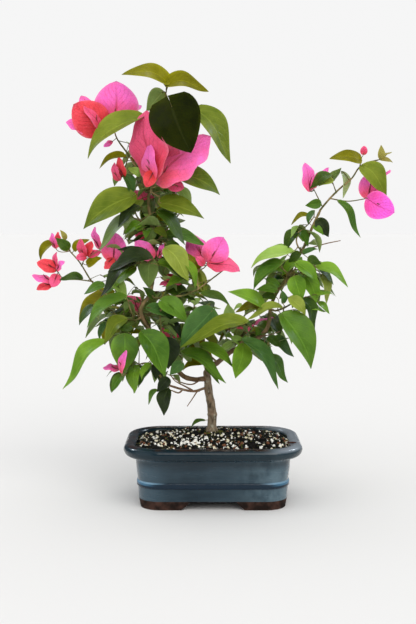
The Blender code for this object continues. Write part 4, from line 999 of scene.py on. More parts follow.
mass("skirt_left", on="low_bough", at_tip=True,
     stem=[(-63, 146, -15), (-74, 158, -18), (-86, 157, -20), (-99, 148, -20)],
     twigs=[[(-57, 139, -13), (-51, 130, -18)]],
     leaves=[("grey", -88, 177, -105, 137, 9, -30, -4), ("green", -105, 145, -118, 124, 10, -26, -4),
             ("bright", -87, 155, -92, 123, 14, -28, 0), ("green", -72, 157, -87, 131, 8, -20, -2),
             ("bright", -73, 158, -83, 139, 7, -27, -2), ("deep", -64, 159, -67, 140, 12, -22, 2),
             ("deep", -52, 141, -65, 125, 13, -19, -4), ("deep", -52, 128, -57, 97, 16, -20, 0),
             ("green", -65, 127, -75, 110, 6, -14, 0), ("bright", -92, 160, -90, 124, 12, -14, 0),
             ("dark", -107, 146, -119, 125, 10, -16, 0), ("bright", -72, 155, -87, 130, 9, -26, -2),
             ("deep", -55, 160, -62, 136, 12, -8, 0)],
     bracts=[("pink", -106, 148, -101, 174, 8, -40, -2), ("pink", -109, 151, -128, 153, 8, -19, 0),
             ("coral", -106, 146, -117, 137, 7, -18, 4)])
print(len(MASSES), "masses planned")

# %% Masses in front of the fork
mass("centre_front", on="leader_lower",
     stem=[(-59, 184, -10), (-60, 198, -16), (-61, 215, -16), (-58, 228, -14)],
     twigs=[[(-60, 193, -15), (-73, 195, -26), (-80, 194, -32)], [(-59, 184, -10), (-38, 167, -18)]],
     leaves=[("green", -81, 193, -56, 143, 29, -36, -4), ("deep", -54, 188, -52, 152, 28, -18, 0),
             ("green", -60, 231, -30, 207, 21, -14, 0), ("dark", -52, 243, -20, 232, 14, -6, 2),
             ("teal", -76, 223, -47, 211, 13, -12, -2), ("olive", -64, 205, -42, 188, -13, -12, 2),
             ("deep", -51, 206, -37, 188, 9, -4, 0), ("teal", -36, 159, -50, 145, 13, -24, -2),
             ("green", -53, 232, -34, 207, 13, -8, 0), ("moss", -86, 181, -92, 148, 9, -16, -2)])
mass("centre_right", on="right_bough",
     stem=[(-5, 170, -2), (-10, 184, -8), (-8, 202, -14), (0, 216, -20)],
     twigs=[[(-8, 200, -14), (15, 198, -26), (35, 203, -32)], [(-8, 174, -5), (-27, 172, -14)]],
     leaves=[("teal", -1, 220, -38, 178, 31, -26, -4), ("moss", 37, 206, -38, 177, 17, -36, -4),
             ("grey", 19, 210, 17, 228, 13, -20, 2), ("green", -34, 170, 15, 135, 15, -18, -4),
             ("bright", -13, 179, 24, 153, 13, -14, -4), ("green", -9, 152, 8, 134, 7, -12, 0),
             ("green", -5, 189, -34, 179, 9, -16, 0), ("olive", -12, 158, -35, 150, 9, -6, 0)])
print(len(MASSES), "masses planned")

# %% Masses low on the right
mass("right_low", on="right_bough",
     stem=[(30, 180, -6), (35, 184, -14), (50, 179, -14), (63, 177, -12)],
     leaves=[("bright", 35, 179, 26, 141, 22, -20, 0), ("lime", 22, 188, 44, 167, 10, -20, -4),
             ("teal", 35, 184, 76, 128, 16, -28, -6), ("green", 64, 166, 87, 136, 14, -14, 0),
             ("teal", 69, 187, 94, 166, 13, -12, 0), ("dark", 64, 188, 79, 178, 10, -6, 2),
             ("dark", 52, 184, 67, 168, 9, -8, 0)])
mass("right_mid", on="right_upper",
     stem=[(73, 220, -10), (82, 223, -16), (96, 231, -17), (108, 236, -14)],
     twigs=[[(73, 220, -10), (58, 222, -14)], [(82, 223, -16), (81, 214, -24)]],
     leaves=[("bright", 57, 225, 17, 242, 15, -14, -2), ("olive", 54, 222, 26, 218, 10, -8, 0),
             ("green", 81, 214, 114, 152, 31, -30, -6), ("straw", 89, 235, 107, 214, 14, -24, -4),
             ("straw", 79, 223, 39, 209, 9, -22, -2), ("teal", 81, 229, 79, 244, 7, -22, 0),
             ("dark", 105, 232, 118, 199, 13, -18, 0), ("bright", 122, 229, 135, 216, 7, -6, 0),
             ("dark", 72, 236, 54, 235, 9, -8, 2)])
mass("right_fore", on="right_upper",
     stem=[(91, 260, -8), (104, 265, -12), (119, 267, -11)],
     twigs=[[(91, 260, -8), (82, 267, -12), (78, 274, -14)]],
     leaves=[("bright", 94, 259, 103, 231, 21, -20, -2), ("bright", 107, 260, 120, 229, 17, -12, 0),
             ("deep", 110, 261, 121, 240, 10, -18, -2), ("straw", 125, 260, 131, 227, 10, -4, 2),
             ("green", 76, 249, 59, 257, 8, -10, 0), ("green", 73, 243, 50, 244, 10, -10, 0),
             ("green", 78, 276, 47, 244, 15, -18, -4), ("lime", 80, 275, 49, 247, 10, -26, -4),
             ("bright", 96, 276, 80, 260, 10, 4, 0), ("pale", 119, 272, 135, 253, 10, 6, 2),
             ("bright", 120, 269, 156, 247, 12, -10, 0), ("bright", 97, 274, 121, 251, 14, -20, -4)])
print(len(MASSES), "masses planned")

# %% Masses out on the arm
mass("arm_leaves", on="right_upper",
     stem=[(98, 294, -5), (96, 302, -8), (99, 311, -8)],
     twigs=[[(99, 311, -8), (109, 319, -6), (116, 328, -7)]],
     leaves=[("olive", 110, 328, 90, 319, 6, -8, 0), ("teal", 116, 335, 110, 319, 7, -10, -2),
             ("deep", 121, 325, 133, 305, 15, -8, 0), ("bright", 115, 317, 127, 307, 7, -12, -2),
             ("lime", 90, 287, 44, 269, 13, -12, 0), ("dark", 98, 311, 82, 288, 13, -10, 0),
             ("green", 99, 313, 109, 294, 10, -12, -2), ("teal", 104, 286, 121, 291, 6, -8, 0),
             ("dark", 110, 281, 125, 274, 10, -8, 0), ("dark", 99, 287, 87, 276, 10, -8, 0)])
mass("right_tip", on="right_upper", at_tip=True,
     stem=[(124, 337, 6), (134, 349, 6), (146, 361, 7), (159, 372, 7), (167, 384, 7), (177, 390, 6),
           (189, 393, 5)],
     twigs=[[(135, 349, 6), (155, 346, 0), (176, 349, -2)], [(141, 357, 6), (137, 368, 2)],
            [(125, 341, 6), (116, 359, 2)], [(168, 385, 7), (170, 396, 4)]],
     leaves=[("olive", 168, 393, 133, 394, 14, 2, 0), ("moss", 171, 386, 199, 352, 24, -6, -6),
             ("dark", 134, 376, 111, 360, 12, -4, -2), ("straw", 137, 370, 147, 384, -9, 0, 2),
             ("straw", 137, 370, 121, 363, 8, -8, 0), ("pale", 147, 379, 149, 349, 9, 12, 0),
             ("green", 144, 345, 170, 304, 9, -6, -2), ("green", 123, 344, 106, 341, 11, 0, 0),
             ("young", 191, 395, 192, 410, 8, 2, 2), ("young", 192, 393, 206, 390, 5, 2, 0),
             ("young", 196, 396, 205, 402, 3, 6, 2)],
     bracts=[("pink", 111, 358, 105, 390, 15, -2, -2), ("pink", 116, 362, 133, 384, 9, 8, 4),
             ("pink", 178, 349, 183, 380, 27, 2, 6), ("magenta", 177, 349, 211, 333, 31, -4, -8),
             ("pink", 181, 352, 203, 382, 9, 10, 4), ("crimson", 172, 399, 173, 409, 8, 2, 0)])
print(len(MASSES), "masses planned")

# %% Masses behind, by rule alone
mass("back_crown", on="leader_upper", more=16, flowers=2,
     stem=[(-69, 286, 22), (-74, 318, 44), (-76, 358, 62), (-68, 404, 64)],
     space=((-124, -14), (262, 470), (8, 128)))
mass("back_left", on="leader_lower", more=12, flowers=1,
     stem=[(-80, 212, 16), (-92, 214, 40), (-108, 218, 70), (-112, 226, 92)],
     space=((-175, -36), (160, 290), (8, 136)))
mass("back_middle", on="leader_lower", more=11, flowers=1,
     stem=[(-42, 172, 24), (-30, 190, 44), (-22, 212, 68), (-22, 234, 90)],
     space=((-84, 34), (145, 296), (10, 136)))
mass("back_right", on="right_bough", more=11, flowers=1,
     stem=[(30, 186, 18), (38, 198, 38), (50, 208, 62), (68, 216, 80)],
     space=((-14, 120), (145, 275), (8, 130)))
mass("back_arm", on="right_upper", more=12,
     stem=[(88, 256, 16), (92, 264, 38), (102, 280, 56)],
     space=((36, 152), (196, 345), (8, 108)))
print(len(MASSES), "masses planned")

# %% Lines of the masses
MASS_NAMES = [plan["name"] for plan in MASSES]
for plan in MASSES:
    lines = [route_from(plan["on"], plan["at_tip"], plan["stem"])]
    lines += [np.array([seen(*place) for place in twig]) for twig in plan["twigs"]]
    plan["routes"] = lines
    plan["lines"] = [straight(line, 5) for line in lines]
print(len(MASSES), "masses,", sum(len(plan["leaves"]) for plan in MASSES), "leaves and",
      sum(len(plan["bracts"]) for plan in MASSES), "bracts have a row")


# %% From a row to a leaf
WIDTH_RATIO = {"leaf": 0.62, "bract": 0.75}
WIDEST = 1.9                         # a blade is at most so many times as wide as the width that shows
OUTWARD = 0.35                       # blades face the sky, leaning this much away from the trunk
STALK_RISE = 0.2                     # a stalk by rule climbs by this share of its length


def face_up(base, tip, shown, width):
    """The way a blade's upper side faces, where this much of its width shows from the front."""
    axis = unit(tip - base)
    sight = unit(EYE - (base + tip) / 2)
    front = unit(sight - axis * (sight @ axis))
    if shown < 0:
        front = -front
    roll = math.acos(min(1.0, abs(shown) / width))
    sky = np.array((OUTWARD * np.sign(base[0]), 0.0, 1.0))
    turned = [front * math.cos(way * roll) + np.cross(axis, front) * math.sin(way * roll)
              for way in (1, -1)]
    return max(turned, key=lambda up: up @ sky)


def leaf_at(plan, row, slide, kind):
    """A planned leaf: tone, (u, v) of base and tip, width shown, depth and lean."""
    tone, u0, v0, u1, v1, shown, depth, lean = row
    base, tip = seen(u0, v0, depth + slide), seen(u1, v1, depth + slide + lean)
    width = max(abs(shown), min(WIDTH_RATIO[kind] * np.linalg.norm(tip - base), WIDEST * abs(shown)))
    every = np.vstack([line[1:] for line in plan["lines"]])
    root = every[np.argmin(np.linalg.norm(every - base, axis=1))]
    return {"kind": kind, "tone": tone, "start": root, "base": base, "tip": tip,
            "up": face_up(base, tip, shown, width), "width": width}


def rule_leaf(root, turn, drop, stalk, length, kind, tone):
    """A leaf that stands out from the root at this turn about the upright, and droops."""
    out = np.array((math.cos(turn) * math.cos(drop), math.sin(turn) * math.cos(drop), -math.sin(drop)))
    base = root + out * stalk + np.array((0.0, 0.0, STALK_RISE * stalk))
    up = unit(np.array((0.0, 0.0, 1.0)) - out * out[2] + 0.02 * out)
    up = unit(up - out * (up @ out))
    return {"kind": kind, "tone": tone, "start": root, "base": base, "tip": base + out * length,
            "up": up, "width": length * WIDTH_RATIO[kind]}


print("widths as shares of the length:", WIDTH_RATIO)


# %% The leaves of a mass
SLIDES = (0, 6, -6, 12, -12, 18, -18, 25)        # mm in depth that a leaf may give way
SWINGS = (0, 0.5, -0.5, 1.0, -1.0)               # the same in turn, for a leaf by rule
AGREES = 0.5                         # a leaf's tip lies this close to a corner of the model's leaf, mm
GOLDEN_ANGLE = math.radians(137.5)
RULE_FROM, RULE_STRAY = 0.2, (-0.3, 0.3)         # share of the stem that stays bare, and radians
RULE_LENGTH, RULE_DROOP, RULE_STALK = (38, 56), (0.1, 1.0), 11.0
RULE_TONES = ("green", "moss", "dark", "olive")
FLOWERS_FROM, FLOWERS_OVER = 0.45, 0.5           # where clusters sit, as shares of the stem
FLOWER_TONES, FLOWER_BRACT, FLOWER_STALK, FLOWER_DROOP = ("pink", "crimson", "pink"), 36.0, 9.0, -0.5


def corners_of(node):
    """The corners of a node of the model, in millimetres from the pot's middle."""
    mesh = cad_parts[node].data
    points = np.empty(len(mesh.vertices) * 3)
    mesh.vertices.foreach_get("co", points)
    return (np.unique(points.reshape(-1, 3).round(6), axis=0) - POT_MIDDLE) / MM


def as_built(choices, corners):
    """The choice whose tip is a corner of the model's mass, or none."""
    for leaf in choices:
        if np.linalg.norm(corners - leaf["tip"], axis=1).min() < AGREES:
            return leaf
    return None


def leaves_by_rule(plan, seed):
    """Choices for each leaf and bract that grows by the golden angle along the lines."""
    rng = np.random.default_rng(seed)
    line = np.vstack(plan["lines"])
    last = len(line) - 1
    for i in range(plan["more"]):
        root = line[int((RULE_FROM + (1 - RULE_FROM) * (i + 0.5) / plan["more"]) * last)]
        turn = GOLDEN_ANGLE * i + rng.uniform(*RULE_STRAY)
        drop, length = rng.uniform(*RULE_DROOP), rng.uniform(*RULE_LENGTH)
        tone = RULE_TONES[i % len(RULE_TONES)]
        yield [rule_leaf(root, turn + swing, drop, RULE_STALK, length, "leaf", tone) for swing in SWINGS]
    for i in range(plan["flowers"]):
        root = line[int((FLOWERS_FROM + FLOWERS_OVER * i / plan["flowers"]) * last)]
        for j, tone in enumerate(FLOWER_TONES):
            turn = GOLDEN_ANGLE * i + 2 * math.pi * j / len(FLOWER_TONES)
            yield [rule_leaf(root, turn, FLOWER_DROOP, FLOWER_STALK, FLOWER_BRACT, "bract", tone)]


def grow(plan, seed):
    """The leaves of a mass, each where the model has it. A row that the model left out keeps its depth."""
    corners = corners_of(plan["name"])
    grown = []
    for kind, rows in (("bract", plan["bracts"]), ("leaf", plan["leaves"])):
        for row in rows:
            choices = [leaf_at(plan, row, slide, kind) for slide in SLIDES]
            grown.append(as_built(choices, corners) or choices[0])
    by_rule = [as_built(choices, corners) for choices in leaves_by_rule(plan, seed)]
    return grown + [leaf for leaf in by_rule if leaf]


big_blades = [leaf for seed, plan in enumerate(MASSES) for leaf in grow(plan, seed)]
print(len(big_blades), "large leaves and bracts")

# %% [markdown]
# ## Leaves and bracts
# A leaf of this plant is a broad blade drawn out to a point, folded a little along its midrib, arched, and
# wavy at its edge. A bract is thinner, rounder and cupped, with a net of veins. Cut-out pictures on flat
# cards would be quick, but they fail from the side, so every blade is a closed thin sheet. One function of
# two parameters, s from base to tip and t across, gives all blades at once, since each of its terms can
# hold a number for each blade.

# %% How blades vary
# the powers a and b of the half width
OUTLINE = {"leaf": (0.5, 1.12), "bract": (0.5, 0.72), "heart": (0.30, 0.88)}
# the ends of each habit for a bract, then for a leaf, in parts of the length unless it says otherwise
FOLD = (0.05, 0.3), (0.2, 0.5)                   # radians
ARCH = (0.04, 0.12), (0.07, 0.15)
CURL = (-0.05, 0.05), (-0.03, 0.07)
RIPPLE = (0.02, 0.045), (0.003, 0.012)
WAVES_ALONG = (1.6, 3.0), (1.0, 2.0)             # ripples from base to tip
SWAY = (-0.035, 0.035)                           # the same for both kinds
BRACT_LOBES, LEAF_LOBES = 0.05, (0.05, 0.1)
BRACT_CUP, LEAF_CUP = 0.22, 0.1                  # in parts of the half width
LEAST_HALF = 0.25                                # mm, so that no blade ends in a point without width
CROWDED = 1.2                                    # rings stand closer towards the base by this power
MODEL_BOX = (np.array(CAD_BOX) - POT_MIDDLE) / MM
# t of each point round a blade, and its side: -1 under, 1 over and 0 at the edge
FINE = (np.array((1, 0.8, 0.42, 0, -0.42, -0.8, -1, -0.8, -0.42, 0, 0.42, 0.8)),
        np.array((0, -1, -1, -1, -1, -1, 0, 1, 1, 1, 1, 1)))
COARSE = np.array((1, 0, -1, 0)), np.array((0, -1, 0, 1))


def column(blades, key):
    return np.array([blade[key] for blade in blades])[:, None, None]


def habits(blades, rng):
    """Each blade's own numbers, drawn by its kind."""
    papery = np.array([blade["kind"] == "bract" for blade in blades])[:, None, None]

    def vary(ends):
        return rng.uniform(*ends, (len(blades), 1, 1))

    def by_kind(ends):
        return np.where(papery, vary(ends[0]), vary(ends[1]))

    own = {"fold": np.tan(by_kind(FOLD)), "arch": by_kind(ARCH) + column(blades, "lift"),
           "curl": by_kind(CURL), "ripple": by_kind(RIPPLE), "phase": vary((0, 6.28)),
           "turns": by_kind(WAVES_ALONG), "sway": vary(SWAY)}
    own["lobes"] = np.where(papery, BRACT_LOBES, vary(LEAF_LOBES)) + column(blades, "lobes")
    own["cup"] = np.where(papery, BRACT_CUP, LEAF_CUP)
    return own


print("a blade has", len(FINE[0]), "points round, or", len(COARSE[0]), "where it is small")


# %% Blade surface
def blade_points(blades, rows, around, thick, rng):
    """Rings (blades, rows, around, 3) of the blades' skins, and their UVs.

    The point is base + axis·along + side·(h·t + sway) + up·(arch + fold + thickness + wave - cup). The
    half width h follows s^a (1 - s)^b. The arch is 4 s (1 - s), with some of sin 2πs. The fold lifts both
    halves by |t|. The wave ripples the edge, and the lobes draw the base's corners back past the stalk. A
    blade that would reach past the model's box is drawn back, the more so towards its tip."""
    across, over = around
    base, up = column(blades, "base"), column(blades, "up")
    axis = column(blades, "tip") - base
    length = np.linalg.norm(axis, axis=-1)
    axis = axis / length[..., None]
    side = np.cross(axis, up)
    s = (np.linspace(0, 1, rows) ** CROWDED)[None, :, None]
    t = across[None, None]
    edge = np.abs(t)
    powers = np.array([OUTLINE["heart" if blade["lobes"] else blade["kind"]] for blade in blades])
    a, b = powers[:, 0, None, None], powers[:, 1, None, None]
    peak = a / (a + b)
    half = column(blades, "width") / 2 * (s / peak) ** a * ((1 - s) / (1 - peak)) ** b + LEAST_HALF
    own = habits(blades, rng)
    bow = 4 * s * (1 - s)
    along = length * (s - own["lobes"] * edge ** 2 * (1 - s) ** 6)
    rise = length * (own["arch"] * bow + own["curl"] * np.sin(2 * math.pi * s))
    rise = rise + own["fold"] * half * edge + thick * over * np.minimum(1, 6 * s * (1 - s) + 0.3)
    turned = own["turns"] * 2 * math.pi * s * np.where(t > 0, 1, 0.86) + np.where(t > 0, 0, 2.0)
    rise = rise + own["ripple"] * length * edge ** 2 * np.sin(own["phase"] + turned)
    rise = rise - own["cup"] * half * edge ** 2
    out = half * t + own["sway"] * length * bow
    points = base + axis * along[..., None] + side * out[..., None] + up * rise[..., None]
    past = np.maximum(points.max(axis=(1, 2)) - MODEL_BOX[1], 0)
    past += np.minimum(points.min(axis=(1, 2)) - MODEL_BOX[0], 0)
    points = points - past[:, None, None] * np.minimum(1, 2 * s)[..., None]
    uv = np.stack(np.broadcast_arrays(t * 0.5 + 0.5, s + 0 * t), axis=-1)
    return points, np.broadcast_to(uv, points.shape[:3] + (2,)).reshape(-1, 2)


def add_blades(name, blades, rows, around, thick, seed, finishes, replaced=(), crease=None):
    """A piece of blades, with a slot by tone. The underside takes the slot named under, if there is one."""
    slots = {finish.name: number for number, finish in enumerate(finishes)}
    points, uv = blade_points(blades, rows, around, thick, np.random.default_rng(seed))
    tone = np.array([slots[blade["tone"]] for blade in blades])[:, None, None]
    lower = around[1] + np.roll(around[1], -1) < 0
    slot = np.where(lower, slots.get("under", tone), tone)
    slot = np.broadcast_to(slot, (len(blades), rows - 1, len(lower)))
    shape = rings_shape(points, uv, slot, rolled=lower)
    shade = np.random.default_rng(seed + 1).uniform(0, 1, len(blades))
    shape["shade"] = np.repeat(shade, rows * len(lower))
    add_piece(name, shape, finishes, replaced, crease)


print("one function makes every leaf and bract")

# %% [markdown]
# ## Leaf and bract finishes
# The photograph shows near black, blue green, yellow green and bronze leaves side by side. Each tone is a
# finish of its own, mixed from a deep and a light colour by a soft noise, by the leaf's own shade and by
# its veins. The veins come from the blade's UV map: a line down its middle, and side veins where s - 0.35
# |t| passes whole steps.

# %% Tones and veins
LEAF_TONES = {"bright": ((0.055, 0.145, 0.006), (0.175, 0.330, 0.022)),
              "lime": ((0.150, 0.280, 0.030), (0.320, 0.480, 0.100)),
              "green": ((0.018, 0.070, 0.003), (0.112, 0.230, 0.020)),
              "dark": ((0.007, 0.028, 0.002), (0.062, 0.124, 0.009)),
              "deep": ((0.005, 0.010, 0.003), (0.028, 0.046, 0.012)),
              "heart": ((0.000, 0.001, 0.000), (0.015, 0.021, 0.000)),
              "moss": ((0.056, 0.100, 0.005), (0.190, 0.235, 0.024)),
              "olive": ((0.085, 0.080, 0.001), (0.235, 0.225, 0.004)),
              "grey": ((0.085, 0.150, 0.026), (0.205, 0.285, 0.072)),
              "pale": ((0.230, 0.320, 0.110), (0.420, 0.520, 0.240)),
              "teal": ((0.010, 0.048, 0.007), (0.070, 0.160, 0.032)),
              "young": ((0.180, 0.140, 0.022), (0.360, 0.340, 0.080)),
              "straw": ((0.130, 0.180, 0.015), (0.290, 0.350, 0.055)),
              "under": ((0.120, 0.200, 0.045), (0.255, 0.355, 0.105))}
SHEEN = {"heart": 0.05, "olive": 0.05, "moss": 0.08}       # the others take SHEEN_MOST
SHEEN_MOST = 0.15
BRACT_TONES = {"pink": ((0.900, 0.090, 0.100), (0.999, 0.170, 0.600)),
               "coral": ((0.480, 0.022, 0.014), (0.900, 0.080, 0.110)),
               "crimson": ((0.520, 0.035, 0.040), (0.970, 0.120, 0.280)),
               "magenta": ((0.920, 0.065, 0.260), (0.950, 0.135, 0.740))}


def tinted(colour, factor, more=0.0):
    return tuple(value * factor + more for value in colour)


def veins(finish, spacing, slant, width):
    """0 to 1 at the midrib and at side veins. t is 2u - 1 and s is v of the UV map."""
    place = finish.node("ShaderNodeUVMap", {}, {})
    u, s = finish.part(place, 0), finish.part(place, 1)
    off = (u * 2 - 1).absolute()
    midrib = off.step(0.08, 0.01)
    lines = ((s - slant * off) * spacing).fraction() - 0.5
    return midrib, lines.absolute().step(width, 0.0) * off.step(1.0, 0.5), s, off


print(len(LEAF_TONES), "tones of leaves and", len(BRACT_TONES), "of bracts")


# %% The waxy and the papery finish
def leaf_finish(name, deep, light):
    """A waxy leaf: a paler midrib, faint side veins, and each leaf a little deeper or lighter."""
    finish = Finish(name, Specular_IOR_Level=SHEEN.get(name, SHEEN_MOST), Subsurface_Weight=0.12,
                    Subsurface_Scale=0.002, Subsurface_Radius=(1.0, 1.0, 0.5))
    midrib, laterals, s, off = veins(finish, 6.0, 0.42, 0.10)
    clouds = finish.noise(85, 3.0).step(0.3, 0.7)
    drift = finish.noise(24, 2.0).step(0.35, 0.65)
    colour = finish.mix(clouds * 0.28 + finish.shade() * 0.46 + drift * 0.26, deep, light)
    colour = finish.layers(colour, (off.step(0.6, 1.0) * drift * 0.4, tinted(light, 1.25)),
                           (laterals * 0.18, tinted(light, 1.35)),
                           (midrib * 0.32, tinted(light, 1.5, 0.01)))
    finish.bump(finish.noise(500, 2.0) * 0.25 - 0.5 * midrib - 0.35 * laterals, 0.0005, 0.8)
    return finish.paint(Base_Color=colour, Roughness=0.34 + 0.22 * clouds)


def bract_finish(name, deep, light):
    """A papery bract: deep at its foot, light at its tip, with a dark midrib, a net of veins and folds."""
    finish = Finish(name, Specular_IOR_Level=0.12, Subsurface_Weight=0.3,
                    Subsurface_Scale=0.002, Subsurface_Radius=(1.0, 0.4, 0.5))
    midrib, laterals, s, off = veins(finish, 7.0, 0.55, 0.07)
    net = finish.node("ShaderNodeTexVoronoi", {"feature": "DISTANCE_TO_EDGE"},
                      {"Vector": finish.place(), "Scale": 260.0}, "Distance").step(0.07, 0.0)
    dark = tinted(deep, 0.5)
    mottle = finish.noise(70, 3.0).step(0.35, 0.65)
    colour = finish.mix(s.step(0.0, 0.75) * 0.6 + finish.shade() * 0.2 + mottle * 0.2, deep, light)
    colour = finish.layers(colour, (net * 0.28 + laterals * 0.18, dark),
                           (midrib * s.step(1.0, 0.3) * 0.6, dark))
    finish.bump(finish.noise(130, 3.0) + 0.3 * laterals - 0.4 * midrib, 0.0014, 0.8)
    return finish.paint(Base_Color=colour, Roughness=0.62)


leaf_finishes = [leaf_finish(name, *pair) for name, pair in LEAF_TONES.items()]
bract_finishes = [bract_finish(name, *pair) for name, pair in BRACT_TONES.items()]
print("finishes:", [finish.name for finish in leaf_finishes + bract_finishes])


# %% Large leaves and bracts
HEART_WIDER = 40.0                           # the one deep leaf that is wider is the heart-shaped one
HEART_LOBES, HEART_NOTCH = 0.17, 0.13        # its stalk meets it in a notch
OLIVE_LIFT, OLIVE_LOBES = 0.09, 0.02         # olive leaves arch this much more, and are broad at the base
BLADE_ROWS, BLADE_CREASE = 20, 55
LEAF_THICK, BRACT_THICK = 0.2, 0.12          # half the thickness, mm
for blade in big_blades:
    blade["lobes"], blade["lift"] = 0.0, 0.0
    if blade["tone"] == "deep" and blade["width"] > HEART_WIDER:
        blade["tone"], blade["lobes"] = "heart", HEART_LOBES
        blade["base"] = blade["base"] + HEART_NOTCH * (blade["tip"] - blade["base"])
    if blade["tone"] == "olive":
        blade["lobes"], blade["lift"] = OLIVE_LOBES, OLIVE_LIFT
leaves = [blade for blade in big_blades if blade["kind"] == "leaf"]
bracts = [blade for blade in big_blades if blade["kind"] == "bract"]
add_blades("large_leaves", leaves, BLADE_ROWS, FINE, LEAF_THICK, 21, leaf_finishes, MASS_NAMES,
           BLADE_CREASE)
add_blades("bracts", bracts, BLADE_ROWS, FINE, BRACT_THICK, 22, bract_finishes, MASS_NAMES, BLADE_CREASE)

# %% [markdown]
# ## Twigs and stalks
# Every leaf hangs on a stalk, and every stalk on a twig of its mass. The stems and twigs of the plan are
# made as thin tubes that taper towards their tips, with a swelling at each bud, and each stalk bends from
# its twig into the blade.

# %% Stalks
SHORTEST_STALK, INTO_BLADE = 2.5, 1.5            # mm
BEND = 0.45                                      # a stalk bends this share of its length before the blade
STALK_MOST, STALK_LEAST, STALK_BY_WIDTH = 0.62, 0.3, 0.012       # mm, and mm for each of a blade's width


def stalk_shape(blades, shade, sides=5, rings=6):
    """Stalks as one array: a quadratic curve from the twig to the blade's base, thicker at both ends."""
    start, base, tip = (np.array([blade[key] for blade in blades]) for key in ("start", "base", "tip"))
    axis = (tip - base) / np.linalg.norm(tip - base, axis=1)[:, None]
    short = np.linalg.norm(start - base, axis=1) < SHORTEST_STALK
    start = np.where(short[:, None], base - SHORTEST_STALK * axis, start)
    middle = base - axis * BEND * np.linalg.norm(start - base, axis=1)[:, None]
    end = base + axis * INTO_BLADE
    t = np.linspace(0, 1, rings)[None, :, None]
    line = (1 - t) ** 2 * start[:, None] + 2 * t * (1 - t) * middle[:, None] + t ** 2 * end[:, None]
    fixed = np.eye(3)[np.argmin(np.abs(axis), axis=1)][:, None]
    thick = STALK_LEAST + STALK_BY_WIDTH * np.array([blade["width"] for blade in blades])
    thick = np.minimum(STALK_MOST, thick)[:, None, None]
    radius = (thick * (1 + 0.5 * (2 * t - 1) ** 4))[..., None]
    shape = rings_shape(tube_about(line, fixed, radius, sides))
    shape["shade"][:] = shade
    return shape


print("no stalk is shorter than", SHORTEST_STALK, "mm")

# %% Twigs
STEM_RADII, TWIG_RADII, TWIG_AGE = (1.35, 0.7), (0.85, 0.5), (0.45, 0.15)
LOW_RADII, LOW_AGE, LOW_SEED = (1.1, 0.45), (0.8, 0.4), 300
INTO_LIMB = 2.0                      # mm that a stem starts inside its limb
LOW_TWIGS = ([(-24, 127, 5), (-33, 132, -2), (-44, 138, -8), (-50, 146, -10)],
             [(-35, 128, 0), (-40, 124, -4), (-49, 127, -10), (-58, 128, -14)],
             [(-14, 140, 12), (-24, 134, 4), (-36, 136, -4), (-47, 142, -8)])
twig_shapes = []
for number, plan in enumerate(MASSES):
    for place, route in enumerate(plan["routes"]):
        foot = route[0] - INTO_LIMB * unit(route[1] - route[0])
        ends = TWIG_RADII if place else STEM_RADII
        twig_shapes.append(twig_shape(np.vstack((foot, route)), ends, number * 10 + place, TWIG_AGE))
for number, twig in enumerate(LOW_TWIGS):
    line = [seen(*place) for place in twig]
    twig_shapes.append(twig_shape(line, LOW_RADII, LOW_SEED + number, LOW_AGE))
add_piece("twigs", joined(twig_shapes + [stalk_shape(big_blades, 0.2)]), [BARK], MASS_NAMES)

# %% [markdown]
# ## Small leaves inside the crown
# Between the large leaves the photograph shows many small ones on twigs as thin as wire, and the back of
# the crown is all of that kind. They follow the plant's own habit: twigs leave their stem by the golden
# angle, and each bears leaves on alternate sides. The rule keeps them inside the places where the
# photograph is dense, and off the windows where it shows sky, so that the crown stays as open as the real
# one.

# %% Where small leaves may hang
# ovals in u and v: middle, half width and half height
THICKETS = ((-62, 333, 44, 40), (-62, 256, 62, 52), (-85, 186, 66, 50), (-72, 150, 44, 30),
            (28, 205, 56, 38), (84, 244, 50, 44), (66, 196, 44, 28), (104, 292, 18, 30), (-78, 395, 30, 34))
SKY = ((-141, 265, 14, 11), (13, 249, 18, 14), (-69, 211, 8, 7), (-102, 212, 5, 6), (-126, 188, 9, 9),
       (-20, 310, 16, 30), (-30, 120, 60, 14), (-114, 330, 12, 22))
FRONT_DEPTH, BACK_DEPTH = (-14, 34), (4, 125)
APART = 6.5                          # mm between the middles of two leaves
BOX_MARGIN = 1.0                     # small leaves stay this far inside the model's box
STEM_CLEAR = 5.0                     # no small leaf hangs this near the two main stems, in front of them
STEMS = [LIMBS[name][2] for name in ("leader_lower", "leader_upper", "right_upper")]
EGG = 0.95                           # how far out a leaf may lie in its mass's space, where 1 is the edge


def middle_of(leaf):
    return leaf["base"] * 0.45 + leaf["tip"] * 0.55


def within(ovals, u, v):
    return any(((u - a) / c) ** 2 + ((v - b) / d) ** 2 < 1 for a, b, c, d in ovals)


def in_space(place, space):
    """Whether a place lies in the egg that fills the ranges."""
    return sum(((value - (a + b) / 2) / ((b - a) / 2)) ** 2 for value, (a, b) in zip(place, space)) <= EGG


def hides_stem(spots, depth):
    """Whether any of the spots lies close to a stem, in front of it."""
    for stem in STEMS:
        u, v = as_seen(stem)
        away = np.min([np.hypot(u - spot[0], v - spot[1]) for spot in spots], axis=0)
        if away.min() < STEM_CLEAR and depth < stem[away.argmin(), 1]:
            return True
    return False


